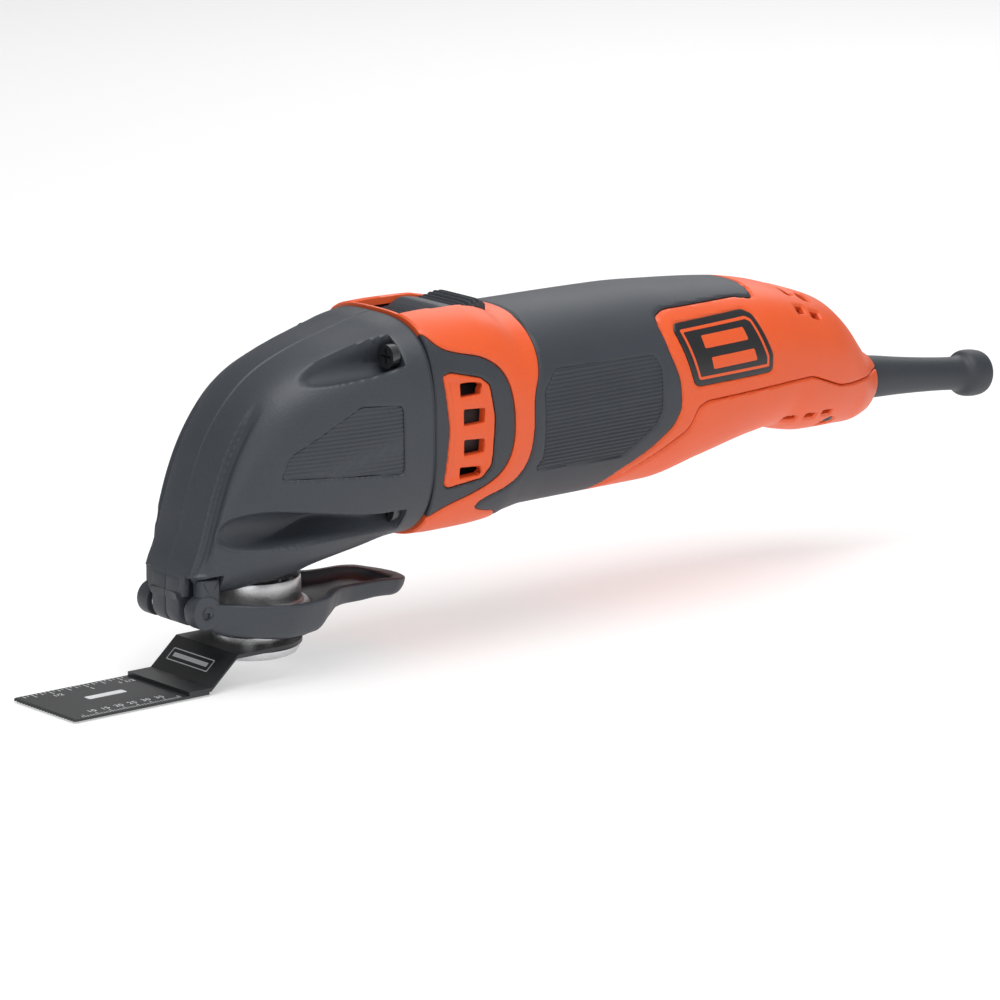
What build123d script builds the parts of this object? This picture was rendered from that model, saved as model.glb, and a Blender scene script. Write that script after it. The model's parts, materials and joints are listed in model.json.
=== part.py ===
from build123d import *
import os
from math import atan2, cos, copysign, pi, radians, sin

os.makedirs("parts", exist_ok=True)

# An oscillating multi tool. Millimetres. The origin is on the spindle axis, in the plane where the
# accessory seats against the spindle. +X runs to the cord, +Z up, -Y is the tool's left side.

# ---- driving dimensions ----
axis_z = 60.0            # motor axis above the accessory seat
seam_x = 48.0            # joint between gearcase and motor end
body_half_width = 31.0   # half width at the grip
body_end_x = 251.3       # rear end of the covers
wall = 3.0               # plastic wall of the shells
gap = 0.15               # gap left between neighbouring shells
fit = 0.02               # radial running clearance of shafts in bearings
loose = 0.05             # radial clearance of pins in moving parts

lever_pivot_x = -27.0    # squeeze lever hinge
lever_pivot_z = 14.3
lever_boss_r = 5.3
lever_pin_r = 2.0
knuckle_half = 6.8       # gearcase knuckle between the lever arms
arm_inner = 9.5          # lever arms, from the middle plane
arm_outer = 14.5
ring_clear_r = 20.5      # lever ring, inside radius

collar_r = 15.6          # bearing collar
collar_flange_r = 18.4
collar_bottom_z = 8.2
collar_top_z = 24.0
bearing_z = 10.6         # lower ball bearing, underside
bearing_h = 7.0
bearing_r = 14.0
spindle_r = 7.5
spindle_top_r = 5.0
spindle_flange_r = 11.5
spindle_top_z = 74.0
needle_r = 8.0
needle_z = 67.5
needle_h = 6.0

rod_r = 4.0              # clamp rod in the hollow spindle
clamp_flange_r = 15.2
clamp_flange_h = 3.8
clamp_pin_ring_r = 8.6   # ring of drive pins on the clamp flange
clamp_pin_r = 1.1
clamp_pins = 8
clamp_travel = 2.8
ring_z = 29.0            # thrust ring of the clamp, underside
ring_h = 3.4
ring_r = 12.5
cross_pin_r = 1.5

rocker_x = -19.5         # release rocker hinge
rocker_z = 33.5
rocker_pin_r = 2.0

blade_t = 1.2            # shank plate
plate_t = 0.8            # cutting plate
blade_half = 15.875      # 1-1/4 in wide blade
crank_top_x = -16.6
crank_bottom_x = -26.4
foot_front_x = -35.1
tip_x = -77.8
foot_z = -9.8            # underside of the shank foot

shaft_r = 4.0
eccentricity = 0.6
ecc_bearing_r = 6.5
ecc_bearing_x = 24.0
ecc_bearing_w = 5.0
fork_clear = 1.4         # room each side of the eccentric bearing in the fork
front_bearing_x = 40.5
front_bearing_r = 11.0
front_bearing_w = 7.0
rear_bearing_x = 158.0
rear_bearing_r = 9.5
rear_bearing_w = 6.0
rear_journal_r = 3.5
barrel_r = 26.8          # motor housing
barrel_wall = 2.4
barrel_end_x = 136.0
tail_r = 20.0            # brush end of the motor housing
stator_x0, stator_x1 = 76.0, 124.0
air_gap = 0.5
armature_r = 15.0
fan_r = 23.0
fan_x0, fan_x1 = 53.0, 63.0
commutator_r = 9.5
brush_x = 143.0

switch_travel = 5.0
slot_x0, slot_x1 = 49.5, 84.5    # opening in the switch plateau
slot_half = 11.5

boot_tilt = 6.2          # the cord boot droops by this many degrees
boot_exit_z = 46.6
boot_bore_r = 3.8
boot_length = 54.6       # from the cover to the end of its bead

screw_y = 20.8           # gearcase screws, along X
screw_zs = (86.0, 38.2)
screw_head_x = 39.5
screw_head_r = 3.75
screw_r = 2.0

hw = body_half_width

# Outer form of each shell as cross sections: x, underside z, top z, half width, squareness.
# Squareness 2 is an ellipse and higher values are squarer.
gearcase_sections = [
    (-31.8, 17.6, 25.5, 12.4, 3.2),
    (-28.6, 17.6, 33.4, 14.0, 3.2),
    (-24.4, 17.6, 46.3, 15.8, 3.0),
    (-18.6, 17.7, 61.2, 18.2, 3.0),
    (-10.7, 17.9, 72.8, 21.2, 3.0),
    (-1.9, 18.3, 80.5, hw - 6.8, 3.0),
    (11.2, 21.2, 86.8, hw - 4.2, 3.0),
    (28.9, 24.6, 91.9, hw - 1.8, 3.0),
    (seam_x - 0.4, 27.2, 96.0, hw, 3.0),
]
body_sections = [
    (seam_x + 0.4, 26.4, 97.0, hw, 3.2),
    (seam_x + 22, 25.9, 97.0, hw + 0.6, 3.0),
    (seam_x + 34, 26.6, 94.2, hw + 0.2, 2.6),
    (seam_x + 48, 28.3, 92.2, hw, 2.4),
    (145.0, 28.7, 91.6, hw, 2.4),
    (166.0, 32.8, 90.2, hw - 0.8, 2.4),
    (190.0, 37.0, 87.9, hw - 2.6, 2.4),
    (body_end_x - 43, 35.6, 83.8, hw - 5.0, 2.3),
    (body_end_x - 26, 34.2, 77.8, hw - 9.0, 2.2),
    (body_end_x - 13, 33.8, 66.0, hw - 14.0, 2.1),
    (body_end_x - 5, 35.0, 58.0, hw - 19.5, 2.0),
    (body_end_x, 38.4, 54.8, 8.2, 2.0),
]


def superellipse(half_y, half_z, squareness, count=16):
    """Points of |y/half_y|^n + |z/half_z|^n = 1, n being the squareness."""
    points = []
    for k in range(count):
        turn = 2 * pi * k / count
        c, s = cos(turn), sin(turn)
        y = copysign(abs(c) ** (2 / squareness), c) * half_y
        z = copysign(abs(s) ** (2 / squareness), s) * half_z
        points.append((y, z))
    return points


def hull(sections, inset=0.0):
    """The solid through the cross sections, each shrunk by inset."""
    with BuildPart() as form:
        for x, low, high, half, squareness in sections:
            middle = Plane(origin=(x, 0, (low + high) / 2), x_dir=(0, 1, 0), z_dir=(1, 0, 0))
            with BuildSketch(middle):
                with BuildLine():
                    Spline(*superellipse(half - inset, (high - low) / 2 - inset, squareness),
                           periodic=True)
                make_face()
        loft(ruled=True)
    return form.part


def side_prism(points, y0, y1):
    """An outline drawn in the XZ plane, carried from y0 to y1."""
    with BuildPart() as prism:
        with BuildSketch(Plane.XZ.offset(-y0)):
            with BuildLine():
                Polyline(*points, close=True)
            make_face()
        extrude(amount=-(y1 - y0))
    return prism.part


def along_x(x, y=0.0, z=axis_z):
    """A sketch plane facing the cord, at a point."""
    return Plane(origin=(x, y, z), x_dir=(0, 1, 0), z_dir=(1, 0, 0))


def save(part, name):
    part.label = name
    export_step(part, f"parts/{name}.step")


def z_ring(z, height, outer, inner):
    """A flat ring round the spindle axis."""
    with BuildPart() as ring:
        with BuildSketch(Plane.XY.offset(z)):
            Circle(outer)
            Circle(inner, mode=Mode.SUBTRACT)
        extrude(amount=height)
    return ring.part


def ball_bearing(plane, bore, outer, width, balls):
    """Outer ring, inner ring and balls with their races, as separate solids."""
    ring_t = (outer - bore) * 0.3
    pitch_r = (outer + bore) / 2
    ball_r = (outer - bore) * 0.26
    with BuildPart() as bearing:
        with BuildSketch(plane):
            Circle(outer)
            Circle(outer - ring_t, mode=Mode.SUBTRACT)
            Circle(bore + ring_t)
            Circle(bore, mode=Mode.SUBTRACT)
        extrude(amount=width)
        with Locations(plane.offset(width / 2)):
            Torus(pitch_r, ball_r + loose, mode=Mode.SUBTRACT)
            with PolarLocations(pitch_r, balls):
                Sphere(ball_r)
    return bearing.part


def coil(start, direction, pitch, height, radius, wire_r):
    """A round-wire spring whose coil runs from start along direction."""
    with BuildPart() as spring:
        with BuildLine() as path:
            Helix(pitch, height, radius, center=start, direction=direction)
        with BuildSketch(Plane(origin=path.line @ 0, z_dir=path.line % 0)):
            Circle(wire_r)
        sweep(is_frenet=True)
    return spring.part


# ---- gearcase: two halves that meet on the middle plane ----
seam_front = seam_x - 0.4
seam_rear = seam_x + 0.4
gearcase_outer = hull(gearcase_sections)
nose_x, nose_low, nose_high, nose_half, nose_square = gearcase_sections[0]
gearcase_inner = hull(
    [(nose_x + wall, nose_low, nose_high + 6, nose_half + 1.2, nose_square)]
    + gearcase_sections[2:], wall)
notch_top_z = 25.2
notch_rear_x = -21.7
notch_inner = arm_inner - 0.6
pocket_r = 6.2
screw_boss_r = pocket_r + 2
lever_pin_plane = Plane(origin=(lever_pivot_x, 0, lever_pivot_z), x_dir=(1, 0, 0), z_dir=(0, -1, 0))
rocker_pin_plane = Plane(origin=(rocker_x, 0, rocker_z), x_dir=(1, 0, 0), z_dir=(0, -1, 0))
rocker_half = 11.8

with BuildPart() as boss_form:                      # what stands inside the gearcase shell
    with BuildSketch(Plane.XY.offset(collar_top_z - 8)):
        Circle(collar_r + 3.4)
    extrude(amount=10)
    with BuildSketch(Plane.XY.offset(needle_z - 1)):
        Circle(needle_r + 3)
    extrude(amount=14)
    for z in screw_zs:
        for side in (-1, 1):
            with BuildSketch(along_x(16.0, side * screw_y, z)):
                Circle(screw_boss_r)
            extrude(amount=seam_front - 16.0)
    for side in (-1, 1):
        with BuildSketch(rocker_pin_plane.offset(side * 18.0)):
            Circle(rocker_pin_r + 2.4)
        extrude(amount=-side * (17.4 - rocker_half))

with BuildPart() as gearcase:
    add(gearcase_outer)
    add(gearcase_inner, mode=Mode.SUBTRACT)
    add(boss_form.part & gearcase_outer)
    with BuildSketch(lever_pin_plane):              # knuckle that carries the lever pin
        Circle(lever_boss_r)
        with Locations((0, 3.0)):
            Rectangle(2 * lever_boss_r - 0.4, 6.2)
    extrude(amount=knuckle_half, both=True)
    with BuildSketch(lever_pin_plane):
        Circle(lever_pin_r)
    extrude(amount=knuckle_half, both=True, mode=Mode.SUBTRACT)
    with BuildSketch(Plane.XY.offset(collar_bottom_z)):
        Circle(collar_r)
    extrude(amount=collar_top_z - collar_bottom_z, mode=Mode.SUBTRACT)
    with BuildSketch(Plane.XY.offset(collar_bottom_z)):
        Circle(collar_r - 2.0)
    extrude(amount=24, mode=Mode.SUBTRACT)
    with BuildSketch(Plane.XY.offset(needle_z - 2)):
        Circle(needle_r)
    extrude(amount=needle_h + 2, mode=Mode.SUBTRACT)
    with BuildSketch(Plane.XY.offset(needle_z - 2)):
        Circle(spindle_top_r + 1.0)
    extrude(amount=spindle_top_z + 3 - needle_z, mode=Mode.SUBTRACT)
    with BuildSketch(rocker_pin_plane):
        Circle(rocker_pin_r)
    extrude(amount=14.6, both=True, mode=Mode.SUBTRACT)
    for side in (-1, 1):                            # notches for the lever lugs and springs
        with BuildSketch(Plane.XY.offset(19.0)):
            with Locations(((notch_rear_x - 36) / 2, side * (knuckle_half + 2))):
                Rectangle(notch_rear_x + 36, 4)
        extrude(amount=-6, mode=Mode.SUBTRACT)
        with BuildSketch(Plane.XY.offset(notch_top_z)):
            with Locations(((notch_rear_x - 36) / 2, side * (notch_inner + 5))):
                Rectangle(notch_rear_x + 36, 10)
        extrude(amount=-12, mode=Mode.SUBTRACT)
        for z in screw_zs:                          # screw pockets and holes
            with BuildSketch(along_x(screw_head_x, side * screw_y, z)):
                Circle(pocket_r)
            extrude(amount=-40, mode=Mode.SUBTRACT)
            with BuildSketch(along_x(screw_head_x, side * screw_y, z)):
                Circle(screw_r + loose)
            extrude(amount=12, mode=Mode.SUBTRACT)

for name, kept in (("gearcase_left", Keep.TOP), ("gearcase_right", Keep.BOTTOM)):
    with BuildPart() as half_case:
        add(gearcase.part)
        split(bisect_by=Plane.XZ, keep=kept)
    save(half_case.part, name)

# ---- gearcase screws: domed heads in the pockets, threaded into the motor housing ----
screw_end_x = seam_rear + 8
with BuildPart() as gearcase_screws:
    for z in screw_zs:
        for side in (-1, 1):
            with BuildSketch(along_x(screw_head_x, side * screw_y, z)):
                Circle(screw_r)
            extrude(amount=screw_end_x - screw_head_x)
            with BuildSketch(along_x(screw_head_x, side * screw_y, z)):
                Circle(screw_head_r)
            extrude(amount=-2.8)
            with BuildSketch(along_x(screw_head_x - 2.8, side * screw_y, z)):
                Rectangle(0.9, 4.6)
                Rectangle(4.6, 0.9)
            extrude(amount=1.4, mode=Mode.SUBTRACT)
save(gearcase_screws.part, "gearcase_screws")

# ---- gasket between the gearcase and the motor end ----
seam_low, seam_high = body_sections[0][1:3]
seam_plane = along_x(seam_front, 0, (seam_low + seam_high) / 2)
with BuildPart() as gearcase_gasket:
    with BuildSketch(seam_plane):
        for inset, mode in ((0.8, Mode.ADD), (wall - 0.2, Mode.SUBTRACT)):
            with BuildLine():
                Spline(*superellipse(hw - inset, (seam_high - seam_low) / 2 - inset - 0.8, 3.0),
                       periodic=True)
            make_face(mode=mode)
        with Locations(*[(side * screw_y, z - seam_plane.origin.Z) for z in screw_zs for side in (-1, 1)]):
            Circle(screw_r + 0.4, mode=Mode.SUBTRACT)
    extrude(amount=seam_rear - seam_front)
save(gearcase_gasket.part, "gearcase_gasket")

# ---- bearing collar: cast ring that holds the lower bearing in the nose ----
with BuildPart() as bearing_collar:
    with BuildSketch(Plane.XZ):
        with BuildLine():
            Polyline((bearing_r, collar_bottom_z), (collar_flange_r, collar_bottom_z),
                     (collar_flange_r, collar_bottom_z + 2.2), (collar_r, collar_bottom_z + 2.2),
                     (collar_r, collar_top_z), (bearing_r - 1.8, collar_top_z),
                     (bearing_r - 1.8, bearing_z + bearing_h), (bearing_r, bearing_z + bearing_h),
                     close=True)
        make_face()
    revolve(axis=Axis.Z)
save(bearing_collar.part, "bearing_collar")

# ---- spindle bearings ----
save(ball_bearing(Plane.XY.offset(bearing_z), spindle_r, bearing_r, bearing_h, 9),
     "spindle_ball_bearing")
save(z_ring(needle_z, needle_h, needle_r, spindle_top_r), "spindle_needle_bearing")

# ---- spindle: hollow, with the seat flange for the accessory ----
journal_r = spindle_r - fit
with BuildPart() as spindle:
    with BuildSketch(Plane.XZ):
        with BuildLine():
            Polyline((0, 0), (spindle_flange_r, 0), (spindle_flange_r, 2.0), (spindle_flange_r - 0.6, 2.6),
                     (9.0, 3.6), (9.0, bearing_z), (journal_r, bearing_z), (journal_r, needle_z - 1),
                     (spindle_top_r - fit, needle_z - 1), (spindle_top_r - fit, spindle_top_z),
                     (0, spindle_top_z), close=True)
        make_face()
    revolve(axis=Axis.Z)
    with BuildSketch(Plane.XY):                     # bore of the clamp rod
        Circle(rod_r + loose)
    extrude(amount=ring_z + 8, mode=Mode.SUBTRACT)
    with BuildSketch(Plane.XY):                     # sockets of the drive pins
        with PolarLocations(clamp_pin_ring_r, clamp_pins, start_angle=180 / clamp_pins):
            Circle(clamp_pin_r + 0.25)
    extrude(amount=1.2, mode=Mode.SUBTRACT)
    slot_low = ring_z + ring_h / 2 - clamp_travel - cross_pin_r - 0.4
    slot_high = ring_z + ring_h / 2 + cross_pin_r + 0.3
    with BuildSketch(Plane.XZ.offset(-12)):         # slot in which the cross pin travels
        with Locations((0, (slot_low + slot_high) / 2)):
            Rectangle(2 * cross_pin_r + 0.3, slot_high - slot_low)
    extrude(amount=24, mode=Mode.SUBTRACT)
save(spindle.part, "spindle")

# ---- spring seat, circlip, rocker fork ----
seat_top_z = 21.0
with BuildPart() as spring_seat:
    add(z_ring(bearing_z + bearing_h, seat_top_z - bearing_z - bearing_h - 1.4, journal_r + 1.5, journal_r))
    add(z_ring(seat_top_z - 1.4, 1.4, bearing_r - 2.8, journal_r))
save(spring_seat.part, "spring_seat")

fork_half_h = 6.3
fork_rear_x = ecc_bearing_x + ecc_bearing_w + 1.0
fork_gap = ecc_bearing_r + fork_clear
fork_arm_t = 4.2
with BuildPart() as rocker_fork:
    with BuildSketch(Plane.XY.offset(axis_z - fork_half_h)):
        Circle(journal_r + 3.2)
        for side in (-1, 1):
            with BuildLine():
                Polyline((4, side * 5), (4, side * 11), (18, side * (fork_gap + fork_arm_t)),
                         (fork_rear_x, side * (fork_gap + fork_arm_t)), (fork_rear_x, side * fork_gap),
                         (16, side * fork_gap), (11, side * 5), close=True)
            make_face()
        Circle(journal_r, mode=Mode.SUBTRACT)
    extrude(amount=2 * fork_half_h)
save(rocker_fork.part, "rocker_fork")
save(z_ring(axis_z - fork_half_h - 1.2, 1.2, journal_r + 2, journal_r), "spindle_circlip")

# ---- clamp: flange with drive pins, rod, cross pin and thrust ring ----
with BuildPart() as clamp_flange:
    with BuildSketch(Plane.XZ):
        with BuildLine():
            Polyline((rod_r - 1.2, -blade_t), (clamp_flange_r, -blade_t),
                     (clamp_flange_r, -blade_t - 2.4), (clamp_flange_r - 1.4, -blade_t - clamp_flange_h),
                     (rod_r - 1.2, -blade_t - clamp_flange_h), close=True)
        make_face()
    revolve(axis=Axis.Z)
    with BuildSketch(Plane.XY.offset(-blade_t)):
        with PolarLocations(clamp_pin_ring_r, clamp_pins, start_angle=180 / clamp_pins):
            Circle(clamp_pin_r)
    extrude(amount=blade_t + 0.9)
save(clamp_flange.part, "clamp_flange")

pin_z = ring_z + ring_h / 2
with BuildPart() as clamp_rod:
    with BuildSketch(Plane.XY.offset(-blade_t - clamp_flange_h)):
        Circle(rod_r - 1.2)
    extrude(amount=clamp_flange_h)
    with BuildSketch(Plane.XY.offset(-blade_t)):
        Circle(rod_r)
    extrude(amount=ring_z + 6.4)
    with BuildSketch(Plane.XZ.offset(-12)):
        with Locations((0, pin_z)):
            Circle(cross_pin_r)
    extrude(amount=24, mode=Mode.SUBTRACT)
save(clamp_rod.part, "clamp_rod")

with BuildPart() as clamp_cross_pin:
    with BuildSketch(Plane.XZ.offset(-ring_r + 0.6)):
        with Locations((0, pin_z)):
            Circle(cross_pin_r)
    extrude(amount=2 * ring_r - 1.2)
save(clamp_cross_pin.part, "clamp_cross_pin")

with BuildPart() as thrust_ring:
    add(z_ring(ring_z, ring_h, ring_r, spindle_r + loose))
    with BuildSketch(Plane.XZ.offset(-ring_r)):
        with Locations((0, pin_z)):
            Circle(cross_pin_r)
    extrude(amount=2 * ring_r, mode=Mode.SUBTRACT)
save(thrust_ring.part, "thrust_ring")

spring_wire_r = 0.65
spring_turns = 3
spring_height = ring_z - seat_top_z - 2 * spring_wire_r - 0.1
save(coil((0, 0, seat_top_z + spring_wire_r + 0.05), (0, 0, 1), spring_height / spring_turns,
          spring_height, spindle_r + 1.9, spring_wire_r), "clamp_spring")

# ---- release rocker: turns the lever's push into a push down on the thrust ring ----
pad_r = 3.0
bar_front_x = -24.5
bar_rear_x = -22.0
bar_low_z, bar_high_z = 22.4, 24.4
arm_in, arm_out = 8.6, 11.6
pad_z = ring_z + ring_h + 0.4 + pad_r
with BuildPart() as release_rocker:
    with BuildSketch(rocker_pin_plane):
        Circle(rocker_pin_r + 2.4)
    extrude(amount=rocker_half, both=True)
    with BuildSketch(Plane.XZ):                     # toe in front of the lever's bar
        with BuildLine():
            Polyline((bar_front_x - 2.1, bar_low_z - 0.4), (bar_front_x - 0.4, bar_low_z - 0.4),
                     (bar_front_x - 0.4, bar_high_z + 1.4), (rocker_x, rocker_z - 3),
                     (rocker_x - 4, rocker_z), (bar_front_x - 2.1, bar_high_z + 2.2), close=True)
        make_face()
    extrude(amount=6, both=True)
    for side in (-1, 1):                            # arms with their pads
        with BuildSketch(Plane.XZ.offset(-side * arm_in)):
            with BuildLine():
                Polyline((rocker_x, rocker_z - 2.2), (-1.5, pad_z - 2.4), (0, pad_z + pad_r - 0.4),
                         (-3, pad_z + pad_r - 0.4), (rocker_x, rocker_z + 2.8), close=True)
            make_face()
            with Locations((0, pad_z)):
                Circle(pad_r)
        extrude(amount=-side * (arm_out - arm_in))
    with BuildSketch(rocker_pin_plane):
        Circle(rocker_pin_r + loose)
    extrude(amount=rocker_half + 1, both=True, mode=Mode.SUBTRACT)
save(release_rocker.part, "release_rocker")

with BuildPart() as rocker_pin:
    with BuildSketch(rocker_pin_plane):
        Circle(rocker_pin_r)
    extrude(amount=14.4, both=True)
save(rocker_pin.part, "rocker_pin")

# ---- squeeze lever: yoke round the collar, scooped handle under the body ----
with BuildPart() as clamp_lever:
    with BuildSketch(Plane.XY):                     # plan outline
        with BuildLine():
            Spline((lever_pivot_x + 3, -arm_outer), (-10, -21.8), (1, -24.9), (12, -22.3),
                          (19, -16.8), (26, -13.2), (34, -12), (45, -12), (52.4, -9.4), (56.6, 0))
            Polyline((lever_pivot_x + 3, -arm_outer), (lever_pivot_x - lever_boss_r, -arm_outer),
                     (lever_pivot_x - lever_boss_r, 0), (56.6, 0))
        make_face()
        mirror(about=Plane.XZ)
    extrude(amount=30)
    with BuildSketch(Plane.XZ):                     # side outline
        with BuildLine():
            Spline((-22.6, 17.6), (-16, 16.0), (-5.5, 15.2), (8.3, 14.3), (17.9, 15.0), (28.6, 13.9),
                   (36, 14.1), (45, 13.5), (52.6, 11.4), (57, 8.6))
            Line((57, 8.6), (54.5, 6.8))
            Spline((54.5, 6.8), (49.5, 6.5), (45, 7.4), (29.3, 7.3), (23.5, 7.0), (19.3, 4.6),
                   (12, 3.2), (4.6, 3.0), (-6.4, 3.6), (-17.2, 5.1), (-24.5, 9.2))
            Line((-24.5, 9.2), (-22.6, 17.6))
        make_face()
        with Locations((lever_pivot_x, lever_pivot_z)):
            Circle(lever_boss_r)
        with Locations(((-29 + bar_rear_x) / 2, (bar_high_z + lever_pivot_z) / 2)):
            Rectangle(bar_rear_x + 29, bar_high_z - lever_pivot_z)
    extrude(amount=40, both=True, mode=Mode.INTERSECT)
    with BuildSketch(Plane.XY):                     # room for the collar, knuckle and springs
        Circle(ring_clear_r)
        with Locations((-26, 0)):
            Rectangle(22, 2 * arm_inner)
    extrude(amount=30, mode=Mode.SUBTRACT)
    with BuildSketch(Plane.XY.offset(9.6)):         # scoop of the handle
        with BuildLine():
            Polyline((22.4, -9.5), (30, -8.6), (44, -8.2), (50, -5.5), (51, 0), (50, 5.5), (44, 8.2),
                     (30, 8.6), (22.4, 9.5), close=True)
        make_face()
    extrude(amount=20, mode=Mode.SUBTRACT)
    with BuildSketch(Plane.XZ):                     # bar that pushes the rocker
        with Locations(((bar_front_x + bar_rear_x) / 2, (bar_low_z + bar_high_z) / 2)):
            Rectangle(bar_rear_x - bar_front_x, bar_high_z - bar_low_z)
    extrude(amount=arm_inner + 1, both=True)
    with BuildSketch(lever_pin_plane):
        Circle(lever_pin_r + loose)
    extrude(amount=arm_outer + 1, both=True, mode=Mode.SUBTRACT)
save(clamp_lever.part, "clamp_lever")

with BuildPart() as lever_pin:
    with BuildSketch(lever_pin_plane):
        Circle(lever_pin_r)
    extrude(amount=arm_outer - 1.3, both=True)
save(lever_pin.part, "lever_pin")

return_wire_r = 0.45
return_start = knuckle_half + 0.35 + return_wire_r
with BuildPart() as lever_return_springs:
    for side in (-1, 1):
        add(coil((lever_pivot_x, side * return_start, lever_pivot_z), (0, side, 0), 0.95, 1.1,
                 lever_pin_r + 1.6, return_wire_r))
save(lever_return_springs.part, "lever_return_springs")

# ---- wood blade: cranked shank and toothed cutting plate ----
with BuildPart() as blade_shank:
    with BuildSketch(Plane.XZ):
        with BuildLine():
            Polyline((0, 0), (crank_top_x, 0), (crank_bottom_x, foot_z + blade_t),
                     (foot_front_x, foot_z + blade_t), (foot_front_x, foot_z),
                     (crank_bottom_x - 0.5, foot_z), (crank_top_x - 0.5, -blade_t), (0, -blade_t), close=True)
        make_face()
    extrude(amount=blade_half, both=True)
    with BuildSketch(Plane.XY.offset(-blade_t)):
        Circle(blade_half)
    extrude(amount=blade_t)
    with BuildSketch(Plane.XY.offset(-blade_t)):
        Circle(rod_r + 0.6)
        with Locations((blade_half / 2 + 1, 0)):
            Rectangle(blade_half + 2, 2 * rod_r + 1.2)
        with PolarLocations(clamp_pin_ring_r, clamp_pins, start_angle=180 / clamp_pins):
            Circle(clamp_pin_r + 0.25)
    extrude(amount=blade_t, mode=Mode.SUBTRACT)
save(blade_shank.part, "blade_shank")

teeth = 22
tooth_pitch = 2 * blade_half / teeth
tooth_depth = 1.1
plate_rear_x = crank_bottom_x - 1.2
tooth_line = []
for k in range(teeth):
    y = -blade_half + k * tooth_pitch
    tooth_line += [(tip_x + tooth_depth, y), (tip_x, y + tooth_pitch / 2)]
with BuildPart() as cutting_blade:
    with BuildSketch(Plane.XY.offset(foot_z - plate_t)):
        with BuildLine():
            Polyline(*tooth_line, (tip_x + tooth_depth, blade_half), (plate_rear_x, blade_half),
                     (plate_rear_x, -blade_half), close=True)
        make_face()
    extrude(amount=plate_t)
save(cutting_blade.part, "cutting_blade")

# ---- motor housing: barrel for the field, brush end behind it ----
flange_inset = wall + 0.3
far = hw + 10
barrel_bore = barrel_r - barrel_wall
plate_r = 21.5
tail_end_x = rear_bearing_x + rear_bearing_w + 2
with BuildPart() as housing_front:                  # flange and screw bosses, inside the shells
    add(hull(body_sections[:3], flange_inset))
    with BuildSketch(along_x(seam_rear)):
        Rectangle(2 * far, 2 * far)
    extrude(amount=3.0, mode=Mode.INTERSECT)
    for z in screw_zs:
        for side in (-1, 1):
            with BuildSketch(along_x(seam_rear, side * screw_y * 0.96, axis_z + (z - axis_z) * 0.96)):
                Circle(screw_r + 2.4)
            extrude(amount=screw_end_x + 1.5 - seam_rear)
    add(hull(body_sections[:3], flange_inset), mode=Mode.INTERSECT)

with BuildPart() as motor_housing:
    add(housing_front.part)
    with BuildSketch(along_x(seam_rear)):
        Circle(barrel_r)
    extrude(amount=barrel_end_x - seam_rear)
    with BuildSketch(along_x(barrel_end_x)):
        Circle(tail_r)
    extrude(amount=tail_end_x - barrel_end_x)
    with BuildSketch(along_x(seam_rear)):
        Circle(plate_r - 3.5)
    extrude(amount=3, mode=Mode.SUBTRACT)
    with BuildSketch(along_x(seam_rear + 2)):
        Circle(barrel_bore)
    extrude(amount=barrel_end_x - seam_rear - 4.4, mode=Mode.SUBTRACT)
    with BuildSketch(along_x(barrel_end_x - 4)):
        Circle(tail_r - 2.2)
    extrude(amount=rear_bearing_x - 2 - barrel_end_x + 4, mode=Mode.SUBTRACT)
    with BuildSketch(along_x(rear_bearing_x)):
        Circle(rear_bearing_r)
    extrude(amount=rear_bearing_w, mode=Mode.SUBTRACT)
    with BuildSketch(along_x(rear_bearing_x - 4)):
        Circle(rear_bearing_r - 2)
    extrude(amount=20, mode=Mode.SUBTRACT)
    for z in screw_zs:
        for side in (-1, 1):
            with BuildSketch(along_x(seam_rear, side * screw_y, z)):
                Circle(screw_r)
            extrude(amount=screw_end_x - seam_rear, mode=Mode.SUBTRACT)
    with BuildSketch(Plane.XZ):                     # outlets of the fan
        with Locations(*[((fan_x0 + fan_x1) / 2, axis_z + dz) for dz in (-13.5, -4.5, 4.5, 13.5)]):
            Rectangle(8, 5)
    extrude(amount=40, both=True, mode=Mode.SUBTRACT)
    with BuildSketch(Plane.XY.offset(89.4)):        # room for the switch
        with Locations((seam_rear, 0)):
            Rectangle(8, 29)
    extrude(amount=8, mode=Mode.SUBTRACT)
    with BuildSketch(Plane.XZ):                     # openings of the brush holders
        with Locations((brush_x, axis_z)):
            Rectangle(8.2, 8.2)
    extrude(amount=40, both=True, mode=Mode.SUBTRACT)
save(motor_housing.part, "motor_housing")

# ---- bearing plate and motor bearings ----
plate_front_x = 42.0
with BuildPart() as bearing_plate:
    with BuildSketch(along_x(plate_front_x + 2.4)):
        Circle(plate_r)
    extrude(amount=seam_rear - plate_front_x - 2.4)
    with BuildSketch(along_x(front_bearing_x)):
        Circle(front_bearing_r + 2.6)
    extrude(amount=seam_rear - front_bearing_x)
    with BuildSketch(along_x(front_bearing_x)):
        Circle(front_bearing_r)
    extrude(amount=front_bearing_w, mode=Mode.SUBTRACT)
    with BuildSketch(along_x(front_bearing_x)):
        Circle(front_bearing_r - 2)
    extrude(amount=front_bearing_w + 4, mode=Mode.SUBTRACT)
save(bearing_plate.part, "bearing_plate")
save(ball_bearing(along_x(front_bearing_x), shaft_r, front_bearing_r, front_bearing_w, 7),
     "front_motor_bearing")
save(ball_bearing(along_x(rear_bearing_x), rear_journal_r, rear_bearing_r, rear_bearing_w, 7),
     "rear_motor_bearing")

# ---- field: laminated core and its windings ----
stator_bore = armature_r + air_gap
with BuildPart() as stator_core:
    with BuildSketch(along_x(stator_x0)):
        Circle(barrel_bore)
        Rectangle(2 * barrel_bore + 2, 2 * barrel_bore - 6, mode=Mode.INTERSECT)
        Circle(stator_bore, mode=Mode.SUBTRACT)
    extrude(amount=stator_x1 - stator_x0)
save(stator_core.part, "stator_core")

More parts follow.
